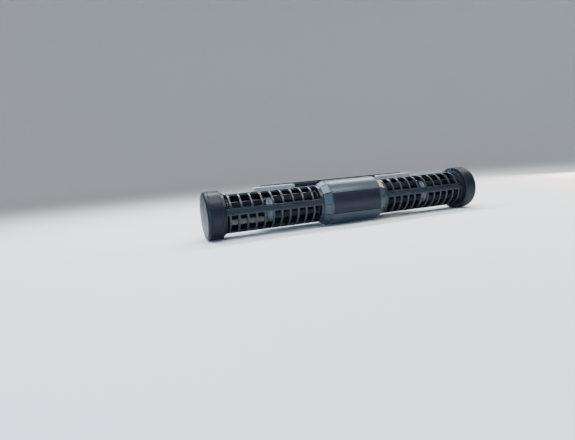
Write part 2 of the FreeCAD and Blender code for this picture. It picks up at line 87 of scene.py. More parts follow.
class Side(Enum):
    """Which end of the pump a piece belongs to."""

    RIGHT = "right"
    LEFT = "left"


def reach(node: str, axis: int, side: int) -> float:
    """Read one face of a node's box, in millimetres.

    Args:
        node: Name of the node.
        axis: 0, 1 or 2 for X, Y or Z.
        side: 0 for the low face and 1 for the high one.

    Returns:
        The face's coordinate in the frame, in millimetres.
    """
    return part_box(node)[side][axis] / MM


def stand(name: str, data: bpy.types.ID) -> bpy.types.Object:
    """Add an object for a mesh, a light or a camera to the scene."""
    item = bpy.data.objects.new(name, data)
    bpy.context.scene.collection.objects.link(item)
    return item


def preset(node: bpy.types.Node, values: dict[str, object]) -> bpy.types.Node:
    """Set constants on a node's own sockets."""
    for label, value in values.items():
        node.inputs[label].default_value = value
    return node


AXIS_Y = (reach("right_end_cap", 1, 0) + reach("right_end_cap", 1, 1)) / 2
NODE_SLOTS = {part["node"]: part["material_slot"] for part in frame["record"]["subparts"]}
NODE_BODIES = {
    node: body for body, nodes in frame["record"]["behaviour"]["bodies"].items() for node in nodes
}


# Shaping -------------------------------------------------------------------


class Blank:
    """A piece in the making: a bmesh in millimetres about the rotor axis."""

    def __init__(self) -> None:
        """Start with no geometry."""
        self.mesh = bmesh.new()

    @staticmethod
    def about_axis(angle: float) -> Matrix:
        """Rotation that carries angle 0, the front, to another angle."""
        return Matrix.Rotation(-math.radians(angle), 3, "X")

    def chain(self, points: list[Point], closed: bool) -> list:
        """Draw a chain of (x, radius) points in the plane of angle 0.

        Args:
            points: Corners of the chain in order.
            closed: Whether the last corner joins the first.

        Returns:
            The new vertices and edges.
        """
        made = [self.mesh.verts.new((x, -radius, 0)) for x, radius in points]
        count = len(made) if closed else len(made) - 1
        ends = [(made[i], made[(i + 1) % len(made)]) for i in range(count)]
        return made + [self.mesh.edges.new(pair) for pair in ends]

    def swing(self, angle: float, verts: list | None = None) -> "Blank":
        """Turn vertices about the rotor axis.

        Args:
            angle: How far they turn.
            verts: Which ones, or None for all of them.

        Returns:
            This blank.
        """
        chosen = self.mesh.verts if verts is None else verts
        turn = self.about_axis(angle)
        bmesh.ops.rotate(self.mesh, verts=chosen, cent=(0, 0, 0), matrix=turn)
        return self

    def spin(self, geometry: list, sweep: float, steps: int, closed: bool = False) -> list:
        """Spin geometry about the rotor axis.

        Args:
            geometry: What is spun.
            sweep: How far it turns.
            steps: How many facets the turn has.
            closed: Whether the last facet meets the first.

        Returns:
            The geometry at the far end.
        """
        turned = bmesh.ops.spin(
            self.mesh,
            geom=geometry,
            cent=(0, 0, 0),
            axis=(-1, 0, 0),
            angle=math.radians(sweep),
            steps=steps,
            use_merge=closed,
        )
        return turned["geom_last"]

    def turn(
        self, points: list[Point], steps: int = 96, start: float = 0.0, sweep: float = 360.0
    ) -> "Blank":
        """Turn a closed outline of (x, radius) points about the rotor axis.

        Args:
            points: Corners of the outline. A radius of 0 becomes a closed pole.
            steps: How many facets the turn has.
            start: Angle that the turn starts from.
            sweep: How far it turns.

        Returns:
            This blank.
        """
        geometry = self.chain(points, True)
        corners = geometry[: len(points)]
        if sweep < 360:
            geometry.append(self.mesh.faces.new(corners))
        self.swing(start, corners)
        self.spin(geometry, sweep, steps, closed=sweep >= 360)
        bmesh.ops.remove_doubles(self.mesh, verts=self.mesh.verts, dist=2 * WELD)
        return self

    def skin(
        self, stations: list[float], radius: float, start: float, arcs: list[tuple[float, int]]
    ) -> "Blank":
        """Turn a straight line into an open skin, in several arcs one after another.

        Args:
            stations: Places along X where the skin has an edge loop.
            radius: Radius of the skin.
            start: Angle that the skin starts from.
            arcs: Sweep and number of facets of each arc.

        Returns:
            This blank.
        """
        geometry = self.chain([(x, radius) for x in stations], False)
        self.swing(start, geometry[: len(stations)])
        for sweep, steps in arcs:
            geometry = self.spin(geometry, sweep, steps)
        return self

    def open_up(self, is_open: Callable[[float, float], bool]) -> "Blank":
        """Take away the faces of a skin that a test picks.

        Args:
            is_open: Test that is given a face's x and angle.

        Returns:
            This blank.
        """
        gone = []
        for face in self.mesh.faces:
            middle = face.calc_center_median()
            if is_open(middle.x, math.degrees(math.atan2(middle.z, -middle.y))):
                gone.append(face)
        bmesh.ops.delete(self.mesh, geom=gone, context="FACES")
        return self

    def thicken(self, wall: float) -> "Blank":
        """Give a skin a wall on its inner side.

        Args:
            wall: Thickness of the wall.

        Returns:
            This blank.
        """
        inward = []
        for face in self.mesh.faces:
            if face.normal.dot(Vector((0, *face.calc_center_median().yz))) < 0:
                inward.append(face)
        bmesh.ops.reverse_faces(self.mesh, faces=inward)
        self.mesh.normal_update()
        bmesh.ops.solidify(self.mesh, geom=self.mesh.faces, thickness=wall)
        return self.heal()

    def join(self, other: "Blank") -> "Blank":
        """Add another blank's geometry to this one.

        Args:
            other: The other blank. It is used up.

        Returns:
            This blank.
        """
        data = bpy.data.meshes.new("joining")
        other.mesh.to_mesh(data)
        other.mesh.free()
        self.mesh.from_mesh(data)
        bpy.data.meshes.remove(data)
        return self

    def block(self, x: Point, y: Point, z: Point) -> "Blank":
        """Add a box.

        Args:
            x: Low and high faces along X.
            y: Low and high faces along Y.
            z: Low and high faces along Z.

        Returns:
            This blank.
        """
        spans = (x, y, z)
        verts = bmesh.ops.create_cube(self.mesh, size=1.0)["verts"]
        bmesh.ops.scale(self.mesh, verts=verts, vec=[high - low for low, high in spans])
        bmesh.ops.translate(self.mesh, verts=verts, vec=[(high + low) / 2 for low, high in spans])
        return self

    def drum(
        self, place: Vector, along: Vector, length: float, radius: float, sides: int = 40
    ) -> "Blank":
        """Add a closed cylinder or prism.

        Args:
            place: Middle of its first end.
            along: Unit vector from the first end to the second.
            length: Distance between the ends.
            radius: Distance of its corners from its own axis.
            sides: Number of sides.

        Returns:
            This blank.
        """
        turn = along.to_track_quat("Z", "Y").to_matrix().to_4x4()
        bmesh.ops.create_cone(
            self.mesh,
            cap_ends=True,
            segments=sides,
            radius1=radius,
            radius2=radius,
            depth=length,
            matrix=Matrix.Translation(place + along * length / 2) @ turn,
        )
        return self

    def bevel(self, edges: list, width: float, segments: int) -> "Blank":
        """Round chosen edges.

        Args:
            edges: The edges.
            width: Size of the rounding.
            segments: Facets in the rounding.

        Returns:
            This blank.
        """
        bmesh.ops.bevel(
            self.mesh,
            geom=edges,
            offset=width,
            offset_type="OFFSET",
            segments=segments,
            profile=0.5,
            affect="EDGES",
            clamp_overlap=True,
            material=-1,
        )
        return self

    def soften(self, width: float, segments: int = 2, sharper_than: float = 28.0) -> "Blank":
        """Round every edge that is sharper than an angle.

        Args:
            width: Size of the rounding.
            segments: Facets in the rounding.
            sharper_than: Smallest angle between faces that counts as an edge.

        Returns:
            This blank.
        """
        self.heal()
        limit = math.radians(sharper_than)
        edges = [e for e in self.mesh.edges if e.is_manifold and e.calc_face_angle(0.0) > limit]
        return self.bevel(edges, width, segments)

    def heal(self) -> "Blank":
        """Merge doubles and point all faces outwards.

        Returns:
            This blank.
        """
        bmesh.ops.remove_doubles(self.mesh, verts=self.mesh.verts, dist=WELD)
        bmesh.ops.dissolve_degenerate(self.mesh, edges=self.mesh.edges, dist=WELD)
        bmesh.ops.recalc_face_normals(self.mesh, faces=self.mesh.faces)
        return self

    def mirror(self) -> "Blank":
        """Turn a right-hand piece into its left-hand twin."""
        bmesh.ops.scale(self.mesh, verts=self.mesh.verts, vec=(-1, 1, 1))
        bmesh.ops.reverse_faces(self.mesh, faces=self.mesh.faces)
        return self

    def carve(self, cutter: "Blank") -> "Blank":
        """Cut another blank out of this one.

        Args:
            cutter: Blank that is taken away. It is used up.

        Returns:
            This blank.
        """
        work = []
        for blank in (self, cutter):
            blank.heal()
            data = bpy.data.meshes.new("cutting")
            blank.mesh.to_mesh(data)
            blank.mesh.free()
            work.append(stand("cutting", data))
        cut = work[0].modifiers.new("cut", "BOOLEAN")
        cut.operation = "DIFFERENCE"
        cut.solver = "EXACT"
        cut.object = work[1]
        view = bpy.context.evaluated_depsgraph_get()
        result = bpy.data.meshes.new_from_object(work[0].evaluated_get(view))
        self.mesh = bmesh.new()
        self.mesh.from_mesh(result)
        for item in work:
            data = item.data
            bpy.data.objects.remove(item)
            bpy.data.meshes.remove(data)
        bpy.data.meshes.remove(result)
        return self.heal()

    def finish(
        self, node: str, body: str, material: bpy.types.Material, slot: str
    ) -> bpy.types.Object:
        """Place the blank in the frame as the piece that stands for a node.

        Args:
            node: Node that the piece replaces.
            body: Body that it rides on.
            material: Its finish.
            slot: Material slot that the finish belongs to. Not used.

        Returns:
            The finished piece, with its object at the origin.
        """
        self.heal()
        bmesh.ops.scale(self.mesh, verts=self.mesh.verts, vec=(MM, MM, MM))
        bmesh.ops.translate(self.mesh, verts=self.mesh.verts, vec=(0, AXIS_Y * MM, 0))
        for face in self.mesh.faces:
            face.smooth = True
        for edge in self.mesh.edges:
            edge.smooth = edge.calc_face_angle(0.0) < math.radians(CREASE)
        data = bpy.data.meshes.new(node + "_moulding")
        self.mesh.to_mesh(data)
        self.mesh.free()
        piece = stand(node + "_moulding", data)
        data.materials.append(material)
        even = piece.modifiers.new("even_shading", "WEIGHTED_NORMAL")
        even.keep_sharp = True
        even.weight = 60
        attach(piece, body)
        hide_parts(node)
        LOG.info("%s: %d faces on %s", piece.name, len(data.polygons), body)
        return piece


# Finishes ------------------------------------------------------------------


DUST_COLOUR: Triple = (0.42, 0.44, 0.46)
COAT_ROUGHNESS = 0.22
# How far the roughness swings either way with the slow clouds.
ROUGHNESS_SWING = 0.045
# How much smoother a worn edge is.
POLISH = 0.12
# Height of the bump map, in metres.
BUMP_HEIGHT = 0.00012


class Canvas:
    """Short names for adding and joining the nodes of one tree."""

    def __init__(self, tree: bpy.types.NodeTree) -> None:
        """Keep the tree that nodes are added to."""
        self.tree = tree

    def add(self, kind: str, **settings: object) -> bpy.types.Node:
        """Add a node and set its properties.

        Args:
            kind: Type of the node.
            settings: Properties of the node.

        Returns:
            The node.
        """
        node = self.tree.nodes.new(kind)
        for name, value in settings.items():
            setattr(node, name, value)
        return node

    def feed(self, target: bpy.types.NodeSocket, source: object) -> None:
        """Give a socket a value, or join it to another socket.

        Args:
            target: Socket that takes the value.
            source: A number, a colour or a socket.
        """
        if isinstance(source, bpy.types.NodeSocket):
            self.tree.links.new(source, target)
        else:
            target.default_value = source

    def place(self) -> bpy.types.NodeSocket:
        """Coordinates on the object itself."""
        return self.add("ShaderNodeTexCoord").outputs["Object"]

    def math(self, operation: str, *values: object, clamp: bool = False) -> bpy.types.NodeSocket:
        """Add a Math node.

        Args:
            operation: Name of the operation.
            values: Numbers or sockets that it works on.
            clamp: Whether the result stays between 0 and 1.

        Returns:
            The result's socket.
        """
        node = self.add("ShaderNodeMath", operation=operation, use_clamp=clamp)
        for index, value in enumerate(values):
            self.feed(node.inputs[index], value)
        return node.outputs[0]

    def times(self, first: object, second: object) -> bpy.types.NodeSocket:
        """Product of two values."""
        return self.math("MULTIPLY", first, second)

    def mix(self, share: object, first: object, second: object) -> bpy.types.NodeSocket:
        """Mix two colours.

        Args:
            share: How much of the second colour shows.
            first: First colour, or a socket.
            second: Second colour, or a socket.

        Returns:
            The mixed colour's socket.
        """
        node = self.add("ShaderNodeMix", data_type="RGBA")
        self.feed(node.inputs["Factor"], share)
        self.feed(node.inputs[6], (*first, 1.0) if isinstance(first, tuple) else first)
        self.feed(node.inputs[7], (*second, 1.0) if isinstance(second, tuple) else second)
        return node.outputs[2]

    def spread(
        self, value: object, low: float, high: float, to_low: float = 0.0, to_high: float = 1.0
    ) -> bpy.types.NodeSocket:
        """Stretch a value from one range to another, held at both ends.

        Args:
            value: The value, or a socket.
            low: Start of the first range.
            high: End of the first range.
            to_low: Start of the second range.
            to_high: End of the second range.

        Returns:
            The result's socket.
        """
        node = self.add("ShaderNodeMapRange", clamp=True)
        for index, item in enumerate((value, low, high, to_low, to_high)):
            self.feed(node.inputs[index], item)
        return node.outputs[0]

    def noise(self, place: object, scale: object, detail: float = 3.0) -> bpy.types.NodeSocket:
        """Add a noise pattern.

        Args:
            place: Coordinates that it is drawn on.
            scale: Its fineness.
            detail: Number of finer layers.

        Returns:
            The pattern's socket.
        """
        node = self.add("ShaderNodeTexNoise")
        self.feed(node.inputs["Vector"], place)
        self.feed(node.inputs["Scale"], scale)
        node.inputs["Detail"].default_value = detail
        return node.outputs["Fac"]


def new_group(
    name: str, inputs: dict[str, float], outputs: list[str]
) -> tuple[bpy.types.NodeTree, Canvas, dict, dict]:
    """Start a shader node group that takes and gives plain numbers.

    Args:
        name: Name of the group.
        inputs: Name and default of each number that it takes.
        outputs: Name of each result.

    Returns:
        The group, its canvas, its input sockets and its output sockets by name.
    """
    kind = "NodeSocketFloat"
    tree = bpy.data.node_groups.new(name, "ShaderNodeTree")
    for label, value in inputs.items():
        made = tree.interface.new_socket(name=label, in_out="INPUT", socket_type=kind)
        made.default_value = value
    for label in outputs:
        tree.interface.new_socket(name=label, in_out="OUTPUT", socket_type=kind)
    canvas = Canvas(tree)
    start = canvas.add("NodeGroupInput")
    end = canvas.add("NodeGroupOutput")
    taken = {label: start.outputs[label] for label in inputs}
    given = {label: end.inputs[label] for label in outputs}
    return tree, canvas, taken, given


def edge_glint_and_wear_group() -> bpy.types.NodeTree:
    """Group that finds exposed edges and breaks them up as handling does; the pale colour laid on
    this mask is partly real wear and partly a painted highlight on edges.

    Returns:
        The group, which puts out a mask of the edges.
    """
    inputs = {"Width": 0.0005, "Amount": 1.0, "Patchiness": 90.0}
    tree, canvas, taken, given = new_group("edge_glint_and_wear", inputs, ["Mask"])
    rounded = canvas.add("ShaderNodeBevel", samples=6)
    canvas.feed(rounded.inputs["Radius"], taken["Width"])
    true_normal = canvas.add("ShaderNodeNewGeometry").outputs["Normal"]
    compare = canvas.add("ShaderNodeVectorMath", operation="DOT_PRODUCT")
    canvas.feed(compare.inputs[0], rounded.outputs[0])
    canvas.feed(compare.inputs[1], true_normal)
    bend = canvas.math("SUBTRACT", 1.0, compare.outputs["Value"])
    edges = canvas.spread(bend, 0.01, 0.16)
    patches = canvas.noise(canvas.place(), taken["Patchiness"], 4.0)
    kept = canvas.spread(patches, 0.36, 0.66, 0.25)
    shown = canvas.math("MULTIPLY", canvas.times(edges, kept), taken["Amount"], clamp=True)
    canvas.feed(given["Mask"], shown)
    return tree


def mould_grain_group() -> bpy.types.NodeTree:
    """Group for the fine spark-eroded grain of a moulding.

    Returns:
        The group, which puts out the grain's height and its slow unevenness.
    """
    inputs = {"Grain": 2600.0, "Cloud": 110.0}
    tree, canvas, taken, given = new_group("mould_grain", inputs, ["Height", "Unevenness"])
    place = canvas.place()
    fine = canvas.noise(place, taken["Grain"], 2.0)
    cells = canvas.add("ShaderNodeTexVoronoi", feature="SMOOTH_F1")
    canvas.feed(cells.inputs["Vector"], place)
    canvas.feed(cells.inputs["Scale"], canvas.times(taken["Grain"], 0.55))
    pits = canvas.times(cells.outputs["Distance"], 0.4)
    canvas.feed(given["Height"], canvas.math("ADD", canvas.times(fine, 0.6), pits))
    canvas.feed(given["Unevenness"], canvas.noise(place, taken["Cloud"], 5.0))
    return tree


def scuff_group() -> bpy.types.NodeTree:
    """Group for hairline scuffs and settled dust.

    Returns:
        The group, which puts out a mask of scuffs and a mask of dust.
    """
    inputs = {"Scuff Scale": 34.0, "Dust Scale": 420.0}
    tree, canvas, taken, given = new_group("scuffs_and_dust", inputs, ["Scuffs", "Dust"])
    place = canvas.place()
    squeeze = canvas.add("ShaderNodeMapping")
    canvas.feed(squeeze.inputs["Vector"], place)
    preset(squeeze, {"Scale": (1.0, 9.0, 14.0), "Rotation": (0.0, 0.35, 0.2)})
    lines = canvas.noise(squeeze.outputs[0], taken["Scuff Scale"], 6.0)
    canvas.feed(given["Scuffs"], canvas.spread(lines, 0.6, 0.72))
    facing = canvas.add("ShaderNodeSeparateXYZ")
    canvas.feed(facing.inputs[0], canvas.add("ShaderNodeNewGeometry").outputs["Normal"])
    upward = canvas.spread(facing.outputs["Z"], 0.35, 1.0)
    specks = canvas.spread(canvas.noise(place, taken["Dust Scale"], 8.0), 0.45, 0.75)
    canvas.feed(given["Dust"], canvas.times(upward, specks))
    return tree


class Effects:
    """The node groups that all finishes share."""

    def __init__(self) -> None:
        """Build each group once."""
        self.glint_and_wear = edge_glint_and_wear_group()
        self.grain = mould_grain_group()
        self.scuffs = scuff_group()

    @staticmethod
    def use(
        canvas: Canvas, tree: bpy.types.NodeTree, **values: float
    ) -> dict[str, bpy.types.NodeSocket]:
        """Place a group in a material.

        Args:
            canvas: Canvas of the material.
            tree: The group.
            values: Inputs of the group by name.

        Returns:
            The group's outputs by name.
        """
        node = preset(canvas.add("ShaderNodeGroup", node_tree=tree), values)
        return {socket.name: socket for socket in node.outputs}


@dataclass(frozen=True)
class Finish:
    """Colour and surface of one material. Distances are in metres.

    Attributes:
        name: Name of the material.
        colour: Main colour, linear.
        shade: Triple of its darker clouds.
        worn_and_glint: Triple of its worn edges and scuffs, and of the painted highlight along its
            edges.
        roughness: Mean roughness.
        gloss: Specular level.
        coat: Strength of the clear top layer.
        grain: Fineness of the grain.
        grain_depth: Strength of the grain's bump.
        glint_and_wear_width: How far the edge wear and painted highlight reach from an edge.
        glint_and_wear: Strength of the edge wear and of the painted highlight along edges.
        dust: Strength of the dust on faces that look up.
        metallic: 1 for a bare metal.
        scuffs: Strength of the hairline scuffs.
    """

    name: str
    colour: Triple
    shade: Triple
    worn_and_glint: Triple
    roughness: float
    gloss: float = 0.5
    coat: float = 0.0
    grain: float = 2600.0
    grain_depth: float = 0.25
    # Edge mask: partly real wear, partly a painted highlight where edges catch the light.
    glint_and_wear_width: float = 0.0005
    glint_and_wear: float = 0.5
    dust: float = 0.07
    metallic: float = 0.0
    scuffs: float = 0.08

    def height(self, canvas: Canvas, grain: bpy.types.NodeSocket) -> bpy.types.NodeSocket:
        """Height that the bump is made from. Special finishes add their own pattern."""
        return grain

    def tint(self, canvas: Canvas, colour: bpy.types.NodeSocket) -> bpy.types.NodeSocket:
        """Last change to the colour. Special finishes add their own pattern."""
        return colour

    def build(self, effects: Effects) -> bpy.types.Material:
        """Make the material.

        Args:
            effects: The shared node groups.

        Returns:
            The finished material.
        """
        material = bpy.data.materials.new(self.name)
        material.use_nodes = True
        material.node_tree.nodes.clear()
        canvas = Canvas(material.node_tree)
        shader = canvas.add("ShaderNodeBsdfPrincipled")
        constants = {
            "Specular IOR Level": self.gloss,
            "Coat Weight": self.coat,
            "Coat Roughness": COAT_ROUGHNESS,
            "Metallic": self.metallic,
        }
        preset(shader, constants)
        # Mask of exposed edges: partly wear, partly a painted highlight on edges.
        glint_and_wear = Effects.use(canvas, effects.glint_and_wear, Width=self.glint_and_wear_width, Amount=self.glint_and_wear)["Mask"]
        grain = Effects.use(canvas, effects.grain, Grain=self.grain)
        marks = Effects.use(canvas, effects.scuffs)
        scuffs = canvas.times(marks["Scuffs"], self.scuffs)
        clouds = canvas.spread(grain["Unevenness"], 0.3, 0.7)
        colour = self.tint(canvas, canvas.mix(clouds, self.shade, self.colour))
        colour = canvas.mix(canvas.times(marks["Dust"], self.dust), colour, DUST_COLOUR)
        colour = canvas.mix(scuffs, colour, self.worn_and_glint)
        # Painted highlight and wear: exposed edges are lightened towards the worn colour.
        canvas.feed(shader.inputs["Base Color"], canvas.mix(glint_and_wear, colour, self.worn_and_glint))
        smooth, rough = self.roughness - ROUGHNESS_SWING, self.roughness + ROUGHNESS_SWING
        sheen = canvas.spread(grain["Unevenness"], 0.25, 0.75, smooth, rough)
        sheen = canvas.math("ADD", sheen, scuffs)
        sheen = canvas.math("SUBTRACT", sheen, canvas.times(glint_and_wear, POLISH), clamp=True)
        canvas.feed(shader.inputs["Roughness"], sheen)
        bump = preset(
            canvas.add("ShaderNodeBump"), {"Strength": self.grain_depth, "Distance": BUMP_HEIGHT}
        )
        canvas.feed(bump.inputs["Height"], self.height(canvas, grain["Height"]))
        canvas.feed(shader.inputs["Normal"], bump.outputs[0])
        canvas.feed(canvas.add("ShaderNodeOutputMaterial").inputs["Surface"], shader.outputs[0])
        return material


@dataclass(frozen=True)
class Banded(Finish):
    """Finish with fine parallel bands, such as stacked sheets or wound wire.

    Attributes:
        pitch: Bands per metre, over two pi.
        direction: Axis that the bands follow each other along.
        band_depth: How strongly the bands shape the surface and its colour.
    """

    pitch: float = 300.0
    direction: str = "X"
    band_depth: float = 0.6

    def bands(self, canvas: Canvas) -> bpy.types.NodeSocket:
        """The band pattern.

        Args:
            canvas: Canvas of the material.

        Returns:
            Socket of the pattern, from 0 to 1.
        """
        direction = self.direction
        wave = canvas.add("ShaderNodeTexWave", wave_type="BANDS", bands_direction=direction)
        canvas.feed(wave.inputs["Vector"], canvas.place())
        preset(wave, {"Scale": self.pitch, "Distortion": 0.4})
        return wave.outputs["Fac"]

    def height(self, canvas: Canvas, grain: bpy.types.NodeSocket) -> bpy.types.NodeSocket:
        """Bands on top of the grain."""
        ridges = canvas.times(self.bands(canvas), self.band_depth)
        return canvas.math("ADD", canvas.times(grain, 0.3), ridges)

    def tint(self, canvas: Canvas, colour: bpy.types.NodeSocket) -> bpy.types.NodeSocket:
        """Darker lines between the bands."""
        dark = canvas.spread(self.bands(canvas), 0.0, 0.35, self.band_depth, 0.0)
        return canvas.mix(dark, colour, self.shade)


@dataclass(frozen=True)
class Printed(Finish):
    """Circuit board lacquer with copper tracks under it.

    Attributes:
        track: Triple over a track.
    """

    track: Triple = (0.06, 0.3, 0.13)

    def tint(self, canvas: Canvas, colour: bpy.types.NodeSocket) -> bpy.types.NodeSocket:
        """Paler lines where tracks run.

        Args:
            canvas: Canvas of the material.
            colour: Triple so far.

        Returns:
            Socket of the colour with its tracks.
        """
        cells = canvas.add("ShaderNodeTexVoronoi", feature="DISTANCE_TO_EDGE")
        canvas.feed(cells.inputs["Vector"], canvas.place())
        preset(cells, {"Scale": 320.0})
        lines = canvas.spread(cells.outputs["Distance"], 0.04, 0.07, 1.0, 0.0)
        return canvas.mix(lines, colour, self.track)


# The third colour of each finish lightens scuffs and exposed edges; on edges it is partly wear and
# partly a painted highlight.
FINISHES: tuple[Finish, ...] = (
    Finish(
        "housing_plastic", (0.021, 0.031, 0.041), (0.016, 0.024, 0.032), (0.12, 0.15, 0.175),
        roughness=0.36, gloss=0.45, coat=0.12,
    ),
    Finish(
        "panel_plastic", (0.009, 0.010, 0.019), (0.007, 0.008, 0.014), (0.10, 0.11, 0.15),
        roughness=0.38, gloss=0.26, grain_depth=0.12, dust=0.02, scuffs=0.01,
    ),
    # The pale worn colour and strong edge mask paint highlights on the ribs' edges, besides wear.
    Finish(
        "cage_plastic", (0.009, 0.0135, 0.0185), (0.0065, 0.010, 0.014), (0.24, 0.28, 0.31),
        roughness=0.34, gloss=0.38, coat=0.04, glint_and_wear=0.9,
    ),
    Finish(
        "cap_plastic", (0.0065, 0.0095, 0.0145), (0.005, 0.007, 0.011), (0.13, 0.16, 0.185),
        roughness=0.40, gloss=0.19, dust=0.04, scuffs=0.04,
    ),
    # The pale worn colour and strong edge mask paint lit vane edges, besides wear.
    Finish(
        "rotor_plastic", (0.0075, 0.0105, 0.0145), (0.0055, 0.0075, 0.0105), (0.20, 0.23, 0.26),
        roughness=0.34, gloss=0.35, glint_and_wear=0.9, dust=0.02,
    ),
    Finish(
        "hub_plastic", (0.11, 0.126, 0.142), (0.085, 0.098, 0.112), (0.26, 0.28, 0.30),
        roughness=0.40, gloss=0.4, glint_and_wear=0.6, dust=0.03,
    ),
    Finish(
        "pod_plastic", (0.37, 0.365, 0.358), (0.315, 0.31, 0.305), (0.50, 0.52, 0.54),
        roughness=0.42, gloss=0.45,
    ),
    Finish(
        "bracket_plastic", (0.012, 0.016, 0.022), (0.009, 0.012, 0.017), (0.09, 0.10, 0.12),
        roughness=0.42, gloss=0.38,
    ),
    Finish(
        "gland_plastic", (0.012, 0.012, 0.014), (0.008, 0.008, 0.010), (0.07, 0.07, 0.08),
        roughness=0.48, gloss=0.4, grain=1800.0,
    ),
    Finish(
        "well_plastic", (0.03, 0.032, 0.036), (0.024, 0.026, 0.03), (0.12, 0.12, 0.13),
        roughness=0.22, gloss=0.5, coat=0.3, grain_depth=0.08,
    ),
    Finish(
        "washer_plastic", (0.72, 0.72, 0.69), (0.66, 0.66, 0.63), (0.8, 0.8, 0.78),
        roughness=0.5, gloss=0.4, dust=0.05,
    ),
    Banded(
        "magnet_alloy", (0.36, 0.37, 0.39), (0.27, 0.28, 0.30), (0.6, 0.6, 0.6),
        roughness=0.34, metallic=1.0, dust=0.03, pitch=900.0, band_depth=0.15,
    ),
    Banded(
        "core_steel", (0.32, 0.33, 0.35), (0.10, 0.10, 0.11), (0.5, 0.5, 0.5),
        roughness=0.38, metallic=1.0, dust=0.03, pitch=320.0,
    ),
    Banded(
        "coil_copper", (0.62, 0.27, 0.12), (0.20, 0.07, 0.03), (0.75, 0.42, 0.25),
        roughness=0.30, metallic=1.0, dust=0.02, coat=0.4, pitch=420.0, direction="Z",
    ),
    Finish(
        "cast_resin", (0.022, 0.022, 0.026), (0.015, 0.015, 0.018), (0.08, 0.08, 0.08),
        roughness=0.2, gloss=0.5, coat=0.4, grain=500.0, grain_depth=0.15,
    ),
    Printed(
        "board_laminate", (0.02, 0.15, 0.06), (0.015, 0.11, 0.045), (0.4, 0.38, 0.2),
        roughness=0.32, gloss=0.5, coat=0.3,
    ),
    Finish(
        "shaft_ceramic", (0.82, 0.81, 0.77), (0.76, 0.75, 0.71), (0.86, 0.85, 0.82),
        roughness=0.16, gloss=0.55, grain_depth=0.04, dust=0.03,
    ),
    Finish(
        "bush_ceramic", (0.76, 0.75, 0.70), (0.70, 0.68, 0.64), (0.82, 0.81, 0.77),
        roughness=0.3, gloss=0.5, grain_depth=0.1, dust=0.03,
    ),
    Finish(
        "seal_rubber", (0.022, 0.022, 0.022), (0.016, 0.016, 0.016), (0.07, 0.07, 0.07),
        roughness=0.66, gloss=0.3, grain=900.0, grain_depth=0.4,
    ),
    Finish(
        "pad_rubber", (0.028, 0.029, 0.032), (0.020, 0.021, 0.023), (0.09, 0.09, 0.095),
        roughness=0.72, gloss=0.3, grain=1100.0, grain_depth=0.5, dust=0.25,
    ),
    Banded(
        "screw_steel", (0.60, 0.60, 0.62), (0.46, 0.46, 0.48), (0.75, 0.75, 0.76),
        roughness=0.28, metallic=1.0, glint_and_wear=0.3, dust=0.03, pitch=1200.0, band_depth=0.1,
    ),
)


class Palette:
    """All materials by the name of the record's slot that they finish."""

    def __init__(self) -> None:
        """Build every finish."""
        effects = Effects()
        self.materials = {finish.name: finish.build(effects) for finish in FINISHES}

    def __getitem__(self, slot: str) -> bpy.types.Material:
        """Material of a slot."""
        return self.materials[slot]

    def dress_frame(self) -> None:
        """Give every node of the frame the finish of its slot."""
        for name, node in frame["nodes"].items():
            node.data.materials.clear()
            node.data.materials.append(self.materials[NODE_SLOTS[name]])
        LOG.info("dressed %d nodes of the frame", len(frame["nodes"]))


# Sub-assemblies ------------------------------------------------------------


def band(start: float, end: float, inner: float, outer: float) -> list[Point]:
    """Outline of a plain ring, as (x, radius) corners."""
    return [(start, inner), (end, inner), (end, outer), (start, outer)]


def outward(angle: float) -> Vector:
    """Unit vector that points away from the axis at an angle."""
    return Blank.about_axis(angle) @ Vector((0, -1, 0))


@dataclass
class Assembly:
    """What every sub-assembly can do. Sizes are in millimetres.

    Attributes:
        palette: Materials by slot.
    """

    palette: Palette

    def place(self, blank: Blank, node: str) -> bpy.types.Object:
        """Finish a blank as the piece that stands for a node."""
        slot = NODE_SLOTS[node]
        material = self.palette["hub_plastic" if node.endswith("mid_hub") else slot]
        return blank.finish(node, NODE_BODIES[node], material, slot)

    def pair(self, make: Callable[[], Blank], name: str) -> None:
        """Make a piece for both sides.

        Args:
            make: Method that draws the right-hand piece.
            name: Name of the nodes without their side.
        """
        for side in Side:
            blank = make()
            if side is Side.LEFT:
                blank.mirror()
            self.place(blank, f"{side.value}_{name}")


